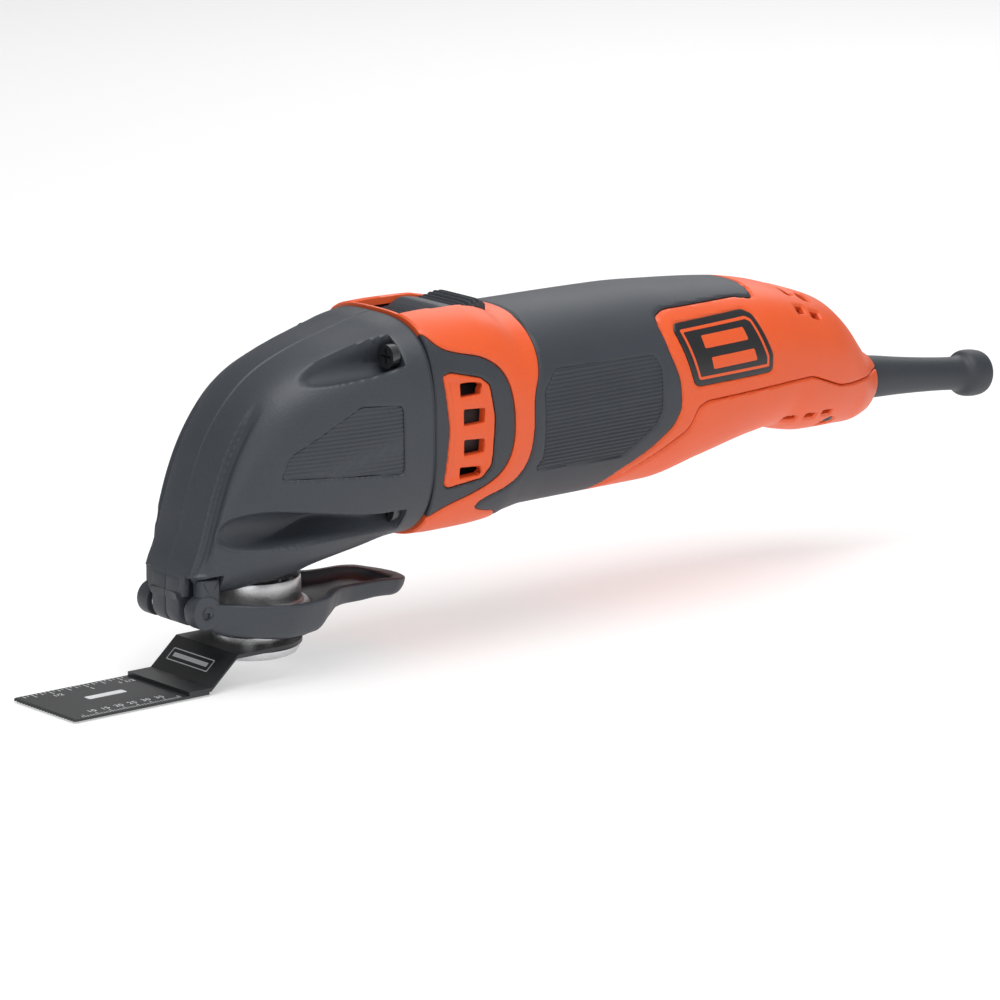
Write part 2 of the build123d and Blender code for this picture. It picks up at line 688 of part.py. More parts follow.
with BuildPart() as stator_windings:
    for x0, x1 in ((stator_x0 - 8.5, stator_x0), (stator_x1, stator_x1 + 8.5)):
        with BuildSketch(Plane.XZ):
            with Locations(((x0 + x1) / 2, axis_z + (stator_bore + barrel_bore) / 2)):
                RectangleRounded(x1 - x0, barrel_bore - stator_bore - 2, 2.5)
        revolve(axis=Axis((0, 0, axis_z), (1, 0, 0)))
save(stator_windings.part, "stator_windings")

# ---- rotor ----
shaft = shaft_r - fit
shaft_end_x = tail_end_x - 1
with BuildPart() as motor_shaft:
    with BuildSketch(along_x(ecc_bearing_x - 1, 0, axis_z + eccentricity)):
        Circle(3.0)
    extrude(amount=ecc_bearing_w + 1.6)
    with BuildSketch(along_x(ecc_bearing_x + ecc_bearing_w + 0.6)):
        Circle(shaft)
    extrude(amount=rear_bearing_x - 1 - ecc_bearing_x - ecc_bearing_w - 0.6)
    with BuildSketch(along_x(rear_bearing_x - 1)):
        Circle(rear_journal_r - fit)
    extrude(amount=shaft_end_x - rear_bearing_x + 1)
save(motor_shaft.part, "motor_shaft")

save(ball_bearing(along_x(ecc_bearing_x, 0, axis_z + eccentricity), 3.0, ecc_bearing_r, ecc_bearing_w, 7),
     "eccentric_bearing")

with BuildPart() as counterweight:
    with BuildSketch(along_x(ecc_bearing_x + ecc_bearing_w + 2.6)):
        Circle(6.5)
        with Locations((0, -6.5)):
            Rectangle(19, 9)
        Circle(shaft, mode=Mode.SUBTRACT)
    extrude(amount=4.5)
save(counterweight.part, "counterweight")

blades = 12
with BuildPart() as cooling_fan:
    with BuildSketch(along_x(fan_x0)):
        Circle(fan_r)
    extrude(amount=1.4)
    with BuildSketch(along_x(fan_x0)):
        Circle(shaft_r + 3)
    extrude(amount=fan_x1 - fan_x0)
    with BuildSketch(along_x(fan_x0)):
        with PolarLocations((fan_r + shaft_r + 4) / 2, blades):
            Rectangle(fan_r - shaft_r - 5, 1.2, rotation=18)
    extrude(amount=fan_x1 - fan_x0 - 1)
    with BuildSketch(along_x(fan_x0)):
        Circle(shaft)
    extrude(amount=fan_x1 - fan_x0, mode=Mode.SUBTRACT)
save(cooling_fan.part, "cooling_fan")

slots = 12
with BuildPart() as armature_core:
    with BuildSketch(along_x(stator_x0 + 1)):
        Circle(armature_r)
        Circle(shaft, mode=Mode.SUBTRACT)
        with PolarLocations(armature_r - 2.5, slots):
            Rectangle(7, 2.4, mode=Mode.SUBTRACT)
    extrude(amount=stator_x1 - stator_x0 - 2)
save(armature_core.part, "armature_core")

with BuildPart() as armature_winding:
    for x0, x1 in ((stator_x0 - 6, stator_x0 + 1), (stator_x1 - 1, stator_x1 + 6)):
        with BuildSketch(Plane.XZ):
            with Locations(((x0 + x1) / 2, axis_z + 9.4)):
                RectangleRounded(x1 - x0, 8.0, 2.4)
        revolve(axis=Axis((0, 0, axis_z), (1, 0, 0)))
save(armature_winding.part, "armature_winding")

segments = 24
with BuildPart() as commutator:
    with BuildSketch(along_x(brush_x - 7)):
        Circle(commutator_r)
        Circle(shaft, mode=Mode.SUBTRACT)
        with PolarLocations(commutator_r, segments):
            Rectangle(1.6, 0.5, mode=Mode.SUBTRACT)
    extrude(amount=13)
save(commutator.part, "commutator")

# ---- brush gear ----
holder_in, holder_out = 11.0, 25.5
brush_in = commutator_r + 0.2
with BuildPart() as brush_holders:
    for side in (-1, 1):
        with BuildSketch(Plane.XZ.offset(-side * holder_in)):
            with Locations((brush_x, axis_z)):
                Rectangle(8, 8)
                Rectangle(5.4, 6.0, mode=Mode.SUBTRACT)
        extrude(amount=-side * (holder_out - holder_in))
        with BuildSketch(Plane.XZ.offset(-side * holder_out)):
            with Locations((brush_x, axis_z)):
                Rectangle(8, 8)
        extrude(amount=-side * 1.0)
save(brush_holders.part, "brush_holders")

with BuildPart() as carbon_brushes:
    for side in (-1, 1):
        with BuildSketch(Plane.XZ.offset(-side * brush_in)):
            with Locations((brush_x, axis_z)):
                Rectangle(5.0, 5.6)
        extrude(amount=-side * 10.0)
save(carbon_brushes.part, "carbon_brushes")

with BuildPart() as brush_springs:
    for side in (-1, 1):
        add(coil((brush_x, side * (brush_in + 10.5), axis_z), (0, side, 0), 1.3, 4.2, 1.7, 0.3))
save(brush_springs.part, "brush_springs")

# ---- outer shells of the motor end, cut from one form along their parting lines ----
body_outer = hull(body_sections)
tail_x, tail_low, tail_high, tail_half, tail_square = body_sections[-1]
body_inner = hull(body_sections[:-1] + [(tail_x - wall, tail_low, tail_high, tail_half, tail_square)], wall)

sleeve_front = [(93.4, 104), (92.8, 89), (91.4, 76), (87.4, 68), (87.6, 56), (85.6, 46), (79.6, 40.6),
                (67.4, 37.6), (66.6, 34), (83.6, 30.6), (84.6, 18)]
sleeve_rear = [(118.0, 18), (121.5, 31), (127.2, 37.4), (137.6, 44.4), (145.0, 50.8), (147.6, 56),
               (147.0, 65), (143.9, 74), (142.6, 82), (143.4, 85), (148.0, 86.4), (180.0, 85.9),
               (188.0, 84.4), (192.5, 90), (193.5, 104)]
cover_split = [(118.0, 28), (131.8, 36.8), (143.4, 43.4), (151.8, 48.6), (155.0, 55.0), (158.5, 56.6),
               (207.0, 57.2), (222.3, 51.6), (229.0, 51.0), (body_end_x + 5, 51.0)]
panel_line = [(seam_rear, 93.2), (52.9, 87.3), (60.5, 85.0), (69.0, 83.1), (76.7, 77.3), (79.6, 66.6),
              (79.6, 54.3), (75.9, 45.9), (66.4, 41.1), (53.6, 37.6), (seam_rear, 34.0)]
grille_line = [(52.0, 79.2), (55.0, 80.0), (66.5, 77.0), (69.9, 74.3), (71.8, 63.6), (70.7, 48.9),
               (67.3, 45.1), (53.8, 43.7), (52.1, 45.2), (54.0, 62.1)]
vent_holes = [(58.8, 66.3, 72.3, 76.2), (60.2, 67.4, 62.4, 67.6), (60.2, 67.2, 53.2, 58.0),
              (58.8, 65.6, 45.6, 49.4)]      # x from, x to, z from, z to
label_line = [(147.8, 80.0), (149.2, 82.2), (179.6, 82.6), (183.0, 80.8), (188.0, 67.6), (187.6, 62.6),
              (186.0, 61.8), (154.8, 61.8), (152.8, 63.0)]
label_depth = 1.0


def shifted(points, dx, dz=0.0):
    return [(x + dx, z + dz) for x, z in points]


def grown(points, by):
    """An outline moved outwards from its middle by about the given distance."""
    mx = sum(x for x, z in points) / len(points)
    mz = sum(z for x, z in points) / len(points)
    out = []
    for x, z in points:
        turn = atan2(z - mz, x - mx)
        out.append((x + by * cos(turn), z + by * sin(turn)))
    return out


switch_opening = Plane.XY.offset(80)
boot_axis = (cos(radians(boot_tilt)), 0, -sin(radians(boot_tilt)))
boot_origin = (body_end_x, 0, boot_exit_z)
boot_plane = Plane(origin=boot_origin, x_dir=boot_axis, z_dir=(0, -1, 0))
boot_cross = Plane(origin=boot_origin, x_dir=(0, 1, 0), z_dir=boot_axis)
boot_neck_r = 6.6
boot_root = -14.0
post_r = 3.2
posts = ((172.0, 23.0), (body_end_x - 28, 12.5))    # cover screws: x, y
clamp_x = body_end_x - 20        # cord clamp in the tail
clamp_z = 44.0

# ---- front collar: orange ring with the switch plateau ----
with BuildPart() as front_collar:
    add(body_outer)
    add(body_inner, mode=Mode.SUBTRACT)
    add(side_prism([(seam_rear, 18), (seam_rear, 104)] + sleeve_front, -far, far), mode=Mode.INTERSECT)
    for side in (-1, 1):
        add(side_prism(grown(panel_line, gap), *sorted((side * 15, side * far))), mode=Mode.SUBTRACT)
    with BuildSketch(switch_opening):
        with Locations(((slot_x0 + slot_x1) / 2, 0)):
            RectangleRounded(slot_x1 - slot_x0, 2 * slot_half, 1.2)
    extrude(amount=30, mode=Mode.SUBTRACT)
save(front_collar.part, "front_collar")

# ---- vent panels and grilles ----
for side, word in ((-1, "left"), (1, "right")):
    y_range = sorted((side * 15, side * far))
    with BuildPart() as vent_panel:
        add(body_outer)
        add(body_inner, mode=Mode.SUBTRACT)
        add(side_prism(panel_line, *y_range), mode=Mode.INTERSECT)
        add(side_prism(grown(grille_line, gap), *y_range), mode=Mode.SUBTRACT)
    save(vent_panel.part, f"vent_panel_{word}")
    with BuildPart() as vent_grille:
        add(body_outer)
        add(body_inner, mode=Mode.SUBTRACT)
        add(side_prism(grille_line, *y_range), mode=Mode.INTERSECT)
        for x0, x1, z0, z1 in vent_holes:
            with BuildSketch(Plane.XZ):
                with Locations(((x0 + x1) / 2, (z0 + z1) / 2)):
                    RectangleRounded(x1 - x0, z1 - z0, 0.8)
            extrude(amount=-side * far, mode=Mode.SUBTRACT)
    save(vent_grille.part, f"vent_grille_{word}")

# ---- grip sleeve ----
with BuildPart() as grip_sleeve:
    add(body_outer)
    add(body_inner, mode=Mode.SUBTRACT)
    add(side_prism(shifted(sleeve_front, gap) + sleeve_rear, -far, far), mode=Mode.INTERSECT)
save(grip_sleeve.part, "grip_sleeve")

# ---- rear covers, upper and lower, with posts for their screws ----
with BuildPart() as cover_posts:
    for x, y in posts:
        for side in (-1, 1):
            with BuildSketch(Plane.XY.offset(20)):
                with Locations((x, side * y)):
                    Circle(post_r)
            extrude(amount=52)
    with BuildSketch(along_x(body_end_x - 8.8, 0, boot_exit_z + 1)):    # gland wall round the boot's neck
        Circle(13)
        Circle(boot_neck_r + 0.4, mode=Mode.SUBTRACT)
    extrude(amount=6)
    with BuildSketch(Plane.XY.offset(20)):          # seats of the cord clamp
        with Locations((clamp_x, -8.5), (clamp_x, 8.5)):
            Circle(2.9)
    extrude(amount=clamp_z - 2 - 20)
with BuildPart() as rear_shell:
    add(body_outer)
    add(body_inner, mode=Mode.SUBTRACT)
    add(cover_posts.part & body_outer)
    add(side_prism(shifted(sleeve_rear, gap, -gap) + [(body_end_x + 5, 104), (body_end_x + 5, 18)], -far, far),
        mode=Mode.INTERSECT)
    with BuildSketch(boot_cross.offset(boot_root - 1)):
        Circle(boot_neck_r + gap)
    extrude(amount=30, mode=Mode.SUBTRACT)
    for x, y in posts:
        for side in (-1, 1):
            with BuildSketch(Plane.XY.offset(20)):
                with Locations((x, side * y)):
                    Circle(1.5)
            extrude(amount=48, mode=Mode.SUBTRACT)
            with BuildSketch(Plane.XY.offset(20)):
                with Locations((x, side * y)):
                    Circle(2.6)
            extrude(amount=26, mode=Mode.SUBTRACT)
    with BuildSketch(Plane.XY.offset(clamp_z - 5)):
        with Locations((clamp_x, -8.5), (clamp_x, 8.5)):
            Circle(1.3)
    extrude(amount=5, mode=Mode.SUBTRACT)
    for side in (-1, 1):                            # seats of the label plates
        label_seat = side_prism(grown(label_line, gap), *sorted((side * 12, side * far)))
        add(label_seat - hull(body_sections[3:9], label_depth + 0.02), mode=Mode.SUBTRACT)

for name, line in (("rear_cover_upper", cover_split + [(body_end_x + 5, 104), (118, 104)]),
                   ("rear_cover_lower", shifted(cover_split, 0, -gap) + [(body_end_x + 5, 10), (118, 10)])):
    with BuildPart() as cover:
        add(rear_shell.part)
        add(side_prism(line, -far, far), mode=Mode.INTERSECT)
        if name == "rear_cover_upper":              # upper vents
            with BuildSketch(Plane.XY.offset(60)):
                with Locations(*[(body_end_x - 43 + 7 * k, side * y) for k in (0, 1)
                                 for y in (7.5, 13.5) for side in (-1, 1)]):
                    Rectangle(4.2, 2.2)
            extrude(amount=40, mode=Mode.SUBTRACT)
        else:                                       # lower vents
            with BuildSketch(Plane.XY.offset(20)):
                with Locations(*[(body_end_x - 50 + 6.5 * k, side * y) for k in range(4)
                                 for y in (4.5,) for side in (-1, 1)]):
                    Rectangle(3.6, 2.2)
            extrude(amount=20, mode=Mode.SUBTRACT)
    save(cover.part, name)

with BuildPart() as cover_screws:
    for x, y in posts:
        for side in (-1, 1):
            with BuildSketch(Plane.XY.offset(46)):
                with Locations((x, side * y)):
                    Circle(1.5)
            extrude(amount=20)
            with BuildSketch(Plane.XY.offset(46)):
                with Locations((x, side * y)):
                    Circle(2.5)
            extrude(amount=-2)
save(cover_screws.part, "cover_screws")

for side, word in ((-1, "left"), (1, "right")):
    with BuildPart() as label_plate:
        add(body_outer)
        add(hull(body_sections[3:9], label_depth), mode=Mode.SUBTRACT)
        add(side_prism(label_line, *sorted((side * 12, side * far))), mode=Mode.INTERSECT)
    save(label_plate.part, f"label_plate_{word}")

# ---- cord boot: hollow tapering strain relief with an end bead ----
bead_r = 7.8
bead_at = boot_length - 6.4
with BuildPart() as cord_boot:
    with BuildSketch(boot_plane):
        with BuildLine():
            Polyline((bead_at - 4.6, 5.5), (6, 7.0), (0.4, 7.2), (0.4, boot_neck_r), (boot_root + 3, boot_neck_r),
                     (boot_root + 3, 9.0), (boot_root, 9.0), (boot_root, boot_bore_r),
                     (boot_length, boot_bore_r), (boot_length, 5.6))
            Spline((boot_length, 5.6), (bead_at + 4.2, 7.2), (bead_at, bead_r), (bead_at - 3.2, 6.7),
                   (bead_at - 4.6, 5.5))
        make_face()
    revolve(axis=Axis(boot_origin, boot_axis))
save(cord_boot.part, "cord_boot")

# ---- cord clamp in the tail of the lower cover ----
with BuildPart() as cord_clamp:
    with BuildSketch(along_x(clamp_x - 3, 0, clamp_z)):
        Rectangle(22, 4)
        with Locations((0, -6)):
            Circle(5.2, mode=Mode.SUBTRACT)
    extrude(amount=6)
    with BuildSketch(Plane.XY.offset(clamp_z - 5)):
        with Locations((clamp_x, -8.5), (clamp_x, 8.5)):
            Circle(1.3)
    extrude(amount=10, mode=Mode.SUBTRACT)
save(cord_clamp.part, "cord_clamp")
with BuildPart() as cord_clamp_screws:
    with BuildSketch(Plane.XY.offset(clamp_z - 5)):
        with Locations((clamp_x, -8.5), (clamp_x, 8.5)):
            Circle(1.3)
    extrude(amount=7)
    with BuildSketch(Plane.XY.offset(clamp_z + 2)):
        with Locations((clamp_x, -8.5), (clamp_x, 8.5)):
            Circle(2.4)
    extrude(amount=1.8)
save(cord_clamp_screws.part, "cord_clamp_screws")

# ---- switch: sliding button, link over the barrel, switch module and capacitor ----
button_x0, button_x1 = slot_x0 + switch_travel + 0.5, slot_x1 - 0.5
link_low, link_high = 87.05, 88.25
with BuildPart() as switch_button:
    with BuildSketch(Plane.XZ):
        with BuildLine():
            Polyline((button_x0, 92.2), (button_x0, 94.2), (button_x0 + 6, 95.4), (button_x0 + 8, 97.0),
                     (button_x1 - 8, 97.0), (button_x1, 95.2), (button_x1, 91.4), (button_x1 - 3, 90.4),
                     (button_x0 + 22, 90.4), close=True)
        make_face()
    extrude(amount=slot_half - 0.5, both=True)
    for k in range(5):                              # thumb ribs
        with BuildSketch(Plane.XZ):
            with Locations((button_x1 - 1.8 - 2.6 * k, 97.4 - 0.22 * max(0, 4 - k))):
                Rectangle(1.2, 2.0)
        extrude(amount=slot_half + 1, both=True, mode=Mode.SUBTRACT)
    with BuildSketch(Plane.XY.offset(90.4)):        # plate that keeps the button in
        with Locations(((button_x0 + 74) / 2, 0)):
            Rectangle(74 - button_x0, 2 * slot_half + 2)
    extrude(amount=1.2)
    with BuildSketch(Plane.XY.offset(link_high)):   # post down to the link
        with Locations((72, 0)):
            Rectangle(5, 5)
    extrude(amount=2.4)
save(switch_button.part, "switch_button")

link_bend_x = barrel_end_x + switch_travel + 1.5
with BuildPart() as switch_link:
    with BuildSketch(Plane.XZ):
        with BuildLine():
            Polyline((69, link_low), (link_bend_x, link_low), (link_bend_x + 9, 81.2), (178.0, 81.2),
                     (178.0, 82.6), (link_bend_x + 9.6, 82.6), (link_bend_x + 0.6, link_high),
                     (69, link_high), close=True)
        make_face()
    extrude(amount=3.5, both=True)
save(switch_link.part, "switch_link")

with BuildPart() as switch_module:
    with BuildSketch(Plane.XY.offset(61)):
        with Locations((188, 0)):
            RectangleRounded(28, 19, 1.5)
    extrude(amount=18)
    with BuildSketch(Plane.XY.offset(79)):
        with Locations((188, 0)):
            Rectangle(8, 6)
    extrude(amount=1.6)
save(switch_module.part, "switch_module")

with BuildPart() as suppression_capacitor:
    with BuildSketch(Plane.XY.offset(44.2)):
        with Locations((187, 0)):
            RectangleRounded(24, 16, 2)
    extrude(amount=13)
    with BuildSketch(Plane.XY.offset(57.2)):
        with Locations((180, 0), (194, 0)):
            Circle(0.6)
    extrude(amount=3.8)
save(suppression_capacitor.part, "suppression_capacitor")
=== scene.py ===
import bpy
import json
import math
import numpy as np
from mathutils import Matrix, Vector


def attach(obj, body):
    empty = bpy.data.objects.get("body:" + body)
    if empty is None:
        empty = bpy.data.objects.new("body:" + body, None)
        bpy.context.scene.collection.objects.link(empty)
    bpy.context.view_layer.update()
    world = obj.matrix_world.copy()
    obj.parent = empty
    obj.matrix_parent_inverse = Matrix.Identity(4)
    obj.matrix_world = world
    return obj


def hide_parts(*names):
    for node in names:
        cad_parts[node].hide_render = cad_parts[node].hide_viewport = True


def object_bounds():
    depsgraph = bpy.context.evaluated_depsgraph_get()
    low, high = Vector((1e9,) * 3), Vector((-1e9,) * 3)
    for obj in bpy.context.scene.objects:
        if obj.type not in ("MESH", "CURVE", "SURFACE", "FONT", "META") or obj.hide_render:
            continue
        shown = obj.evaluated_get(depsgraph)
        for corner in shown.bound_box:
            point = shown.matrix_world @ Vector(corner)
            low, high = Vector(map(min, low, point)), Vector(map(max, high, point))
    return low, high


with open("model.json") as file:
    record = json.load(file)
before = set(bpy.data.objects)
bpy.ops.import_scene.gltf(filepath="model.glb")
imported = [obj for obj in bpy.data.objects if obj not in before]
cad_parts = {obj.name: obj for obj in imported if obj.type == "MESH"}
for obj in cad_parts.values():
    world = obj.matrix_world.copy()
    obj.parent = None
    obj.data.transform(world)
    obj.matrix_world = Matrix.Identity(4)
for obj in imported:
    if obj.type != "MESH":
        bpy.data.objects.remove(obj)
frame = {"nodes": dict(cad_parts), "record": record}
cad_low, cad_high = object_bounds()

# An oscillating multi tool, in metres. Lengths in this script are written in millimetres and
# multiplied by mm where a mesh is made. +X runs to the cord, +Z up, -Y is the tool's left side.
mm = 0.001
LEFT, RIGHT = -1, 1

# ------------------------------------------------------------------ stage, lights and camera
# A pale table under the tool, three large soft lamps and a long lens from the front left.
aim = np.array([98.4, 0.0, 28.0]) * mm               # the point that camera and lamps face
turn, rise, away = math.radians(-39.085), math.radians(13.423), 2.0393
camera_data = bpy.data.cameras.new("camera")
camera_data.lens, camera_data.sensor_width = 233.3, 36.0
camera_data.clip_end = 20.0
camera = bpy.data.objects.new("camera", camera_data)
bpy.context.scene.collection.objects.link(camera)
level = math.cos(rise)
backward = np.array([math.sin(turn) * level, -math.cos(turn) * level, math.sin(rise)])
camera.location = aim + backward * away
camera.rotation_mode = "XYZ"
camera.rotation_euler = (math.pi / 2 - rise, 0.0, turn)
bpy.context.scene.camera = camera


def lamp(name, place, size, power, tint=(1.0, 1.0, 1.0)):
    """A square area lamp that faces the middle of the tool."""
    data = bpy.data.lights.new(name, "AREA")
    data.shape, data.size, data.energy, data.color = "SQUARE", size, power, tint
    lit = bpy.data.objects.new(name, data)
    lit.location = place
    direction = Vector(aim) - Vector(place)
    lit.rotation_euler = direction.to_track_quat("-Z", "Y").to_euler()
    bpy.context.scene.collection.objects.link(lit)


lamp("lamp_above", (0.0, -0.25, 1.25), 1.0, 14.0)
lamp("lamp_left", (-0.9, -1.0, 0.45), 0.8, 3.0)
lamp("lamp_rear", (1.0, 0.7, 0.8), 0.8, 4.5)
lamp("lamp_low", (0.5, -1.3, 0.25), 0.8, 1.2)

world = bpy.data.worlds.new("studio")
world.use_nodes = True
sky = world.node_tree.nodes["Background"].inputs
sky["Color"].default_value = (1.0, 1.0, 1.0, 1.0)
sky["Strength"].default_value = 0.27
bpy.context.scene.world = world
bpy.context.scene.view_settings.view_transform = "Standard"

floor_half, floor_gap = 6, 0.0006                    # metres: half its width, clearance below the tool
floor_z = cad_low[2] - floor_gap
floor_mesh = bpy.data.meshes.new("floor")
floor_mesh.from_pydata([(x * floor_half, y * floor_half, floor_z)
                        for x, y in ((-1, -1), (1, -1), (1, 1), (-1, 1))], [], [(0, 1, 2, 3)])
floor = bpy.data.objects.new("floor", floor_mesh)
bpy.context.scene.collection.objects.link(floor)
floor_paint = bpy.data.materials.new("floor_paint")
floor_paint.use_nodes = True
for socket, value in (("Base Color", (0.6, 0.6, 0.6, 1.0)), ("Roughness", 0.7),
                      ("Emission Color", (1.0, 1.0, 1.0, 1.0)), ("Emission Strength", 0.45)):
    floor_paint.node_tree.nodes["Principled BSDF"].inputs[socket].default_value = value
floor_mesh.materials.append(floor_paint)


# ------------------------------------------------------------------ finishes
# Moulded plastics with a fine spark-eroded grain, a softer rubber, cast and turned metals,
# black painted steel. Each is a Principled surface whose colour, gloss and bump vary a little.
gloss_spread, slow_scale = 0.08, 60.0


def finish(name, colour, rough, metal=0.0, grain=1500.0, bump=0.06, spread=0.12, brushed=None):
    """A material on Object coordinates. Fine noise of scale grain drives the bump (mm); its mean with a
    slow noise moves colour (by spread) and roughness. brushed stretches the fine noise along an axis."""
    made = bpy.data.materials.new(name)
    made.use_nodes = True
    nodes, links = made.node_tree.nodes, made.node_tree.links
    shader = nodes["Principled BSDF"]
    shader.inputs["Metallic"].default_value = metal
    where = nodes.new("ShaderNodeTexCoord")
    source = where.outputs["Object"]
    if brushed:
        stretch = nodes.new("ShaderNodeMapping")
        stretch.inputs["Scale"].default_value = brushed
        links.new(source, stretch.inputs["Vector"])
        source = stretch.outputs["Vector"]
    fine = nodes.new("ShaderNodeTexNoise")
    fine.inputs["Scale"].default_value = grain
    fine.inputs["Detail"].default_value = 3.0
    links.new(source, fine.inputs["Vector"])
    slow = nodes.new("ShaderNodeTexNoise")
    slow.inputs["Scale"].default_value = slow_scale
    slow.inputs["Detail"].default_value = 4.0
    links.new(where.outputs["Object"], slow.inputs["Vector"])
    tone = nodes.new("ShaderNodeValToRGB")
    dark = [c * (1 - spread) for c in colour]
    light = [min(1.0, c * (1 + spread)) for c in colour]
    tone.color_ramp.elements[0].position, tone.color_ramp.elements[1].position = 0.3, 0.7
    tone.color_ramp.elements[0].color = (*dark, 1.0)
    tone.color_ramp.elements[1].color = (*light, 1.0)
    mixed = nodes.new("ShaderNodeMath")
    mixed.operation = "MULTIPLY_ADD"
    mixed.inputs[1].default_value = 0.5
    links.new(fine.outputs["Fac"], mixed.inputs[0])
    half = nodes.new("ShaderNodeMath")
    half.operation = "MULTIPLY"
    half.inputs[1].default_value = 0.5
    links.new(slow.outputs["Fac"], half.inputs[0])
    links.new(half.outputs[0], mixed.inputs[2])
    links.new(mixed.outputs[0], tone.inputs["Fac"])
    links.new(tone.outputs["Color"], shader.inputs["Base Color"])
    gloss = nodes.new("ShaderNodeMapRange")
    gloss.inputs["To Min"].default_value = rough - gloss_spread
    gloss.inputs["To Max"].default_value = rough + gloss_spread
    links.new(mixed.outputs[0], gloss.inputs["Value"])
    links.new(gloss.outputs["Result"], shader.inputs["Roughness"])
    raised = nodes.new("ShaderNodeBump")
    raised.inputs["Strength"].default_value = 1.0
    raised.inputs["Distance"].default_value = bump * mm
    links.new(fine.outputs["Fac"], raised.inputs["Height"])
    links.new(raised.outputs["Normal"], shader.inputs["Normal"])
    return made


case_plastic = finish("case_plastic", (0.040, 0.046, 0.056), 0.48, grain=1300, bump=0.07)
panel_plastic = finish("panel_plastic", (0.033, 0.038, 0.047), 0.48, grain=1300, bump=0.05)
orange_plastic = finish("orange_plastic", (0.80, 0.105, 0.022), 0.46, grain=1500, bump=0.03, spread=0.05)
grip_rubber = finish("grip_rubber", (0.036, 0.042, 0.052), 0.55, grain=1800, bump=0.06)
boot_rubber = finish("boot_rubber", (0.034, 0.039, 0.047), 0.55, grain=900, bump=0.04)
cast_metal = finish("cast_metal", (0.62, 0.62, 0.63), 0.36, metal=1.0, grain=1600, bump=0.06, spread=0.1)
turned_steel = finish("turned_steel", (0.60, 0.60, 0.61), 0.27, metal=1.0, grain=260, bump=0.01,
                      brushed=(1.0, 1.0, 14.0))
painted_steel = finish("painted_steel", (0.022, 0.023, 0.025), 0.38, grain=700, bump=0.012, spread=0.2)
screw_steel = finish("screw_steel", (0.09, 0.095, 0.10), 0.34, metal=0.85, grain=900, bump=0.02)
label_film = finish("label_film", (0.020, 0.020, 0.022), 0.33, grain=900, bump=0.006)
print_grey = finish("print_grey", (0.68, 0.69, 0.70), 0.5, grain=1600, bump=0.01)
inner_plastic = finish("inner_plastic", (0.018, 0.018, 0.020), 0.6, grain=900, bump=0.05)
lamination = finish("lamination", (0.24, 0.24, 0.25), 0.42, metal=0.9, grain=300, bump=0.05,
                    brushed=(9.0, 1.0, 1.0))
copper_wire = finish("copper_wire", (0.60, 0.22, 0.08), 0.34, metal=0.9, grain=500, bump=0.15,
                     brushed=(6.0, 1.0, 1.0))
carbon_block = finish("carbon_block", (0.020, 0.020, 0.020), 0.5, grain=1200, bump=0.03)
brass_sheet = finish("brass_sheet", (0.72, 0.50, 0.20), 0.3, metal=1.0, grain=600, bump=0.02)
finish_of_slot = {
    "case_plastic": case_plastic, "orange_plastic": orange_plastic, "grip_rubber": grip_rubber,
    "label_film": label_film, "cast_metal": cast_metal, "steel": turned_steel,
    "dark_steel": painted_steel, "screw_steel": screw_steel, "boot_rubber": boot_rubber,
    "inner_plastic": inner_plastic, "laminations": lamination, "copper": copper_wire,
    "carbon": carbon_block, "brass": brass_sheet,
}
slot_of_node = {row["node"]: row["material_slot"] for row in frame["record"]["subparts"]}
body_of_node = {node: body for body, nodes in frame["record"]["behaviour"]["bodies"].items()
                for node in nodes}
for node_name, carried in frame["nodes"].items():
    carried.data.materials.clear()
    carried.data.materials.append(finish_of_slot[slot_of_node[node_name]])


# ------------------------------------------------------------------ body envelope
# The motor end is one slim form from the gearcase seam to the cord gland, and every shell of it
# is cut from this form. Each cross section is |y/w|^n + |z/h|^n = 1.
def through(knots, values):
    """A smooth curve through points: cubic Hermite pieces, slopes by harmonic mean of neighbours."""
    knots, values = np.asarray(knots, float), np.asarray(values, float)
    step = np.diff(knots)
    rate = np.diff(values) / step
    slope = np.empty_like(values)
    slope[0], slope[-1] = rate[0], rate[-1]
    same = rate[:-1] * rate[1:] > 0
    slope[1:-1] = np.where(same, 2 * rate[:-1] * rate[1:] / np.where(same, rate[:-1] + rate[1:], 1), 0)

    def at(x):
        """The curve's value at x."""
        k = np.clip(np.searchsorted(knots, x) - 1, 0, len(step) - 1)
        s = (x - knots[k]) / step[k]
        return ((2 * s**3 - 3 * s**2 + 1) * values[k] + (s**3 - 2 * s**2 + s) * step[k] * slope[k]
                + (3 * s**2 - 2 * s**3) * values[k + 1] + (s**3 - s**2) * step[k] * slope[k + 1])
    return at


def oval(across, up, squareness, angle):
    """Superellipse point: across and up times a signed power 2/n of the angle's cosine and sine."""
    c, s = np.cos(angle), np.sin(angle)
    power = 2.0 / squareness
    return across * np.sign(c) * np.abs(c) ** power, up * np.sign(s) * np.abs(s) ** power


def even_angles(count, across, up, squareness, start, end):
    """Angles from start to end that space the superellipse's points evenly along its length."""
    samples = 6000
    dense = np.linspace(start, end, samples)
    y, z = oval(across, up, squareness, dense)
    run = np.concatenate([[0], np.cumsum(np.hypot(np.diff(y), np.diff(z)))])
    return np.interp(np.linspace(0, run[-1], count), run, dense)


seam_x, body_end_x = 48.4, 251.3
flanks = (("right", 0.0), ("left", math.pi))         # each side and the angle of its flank
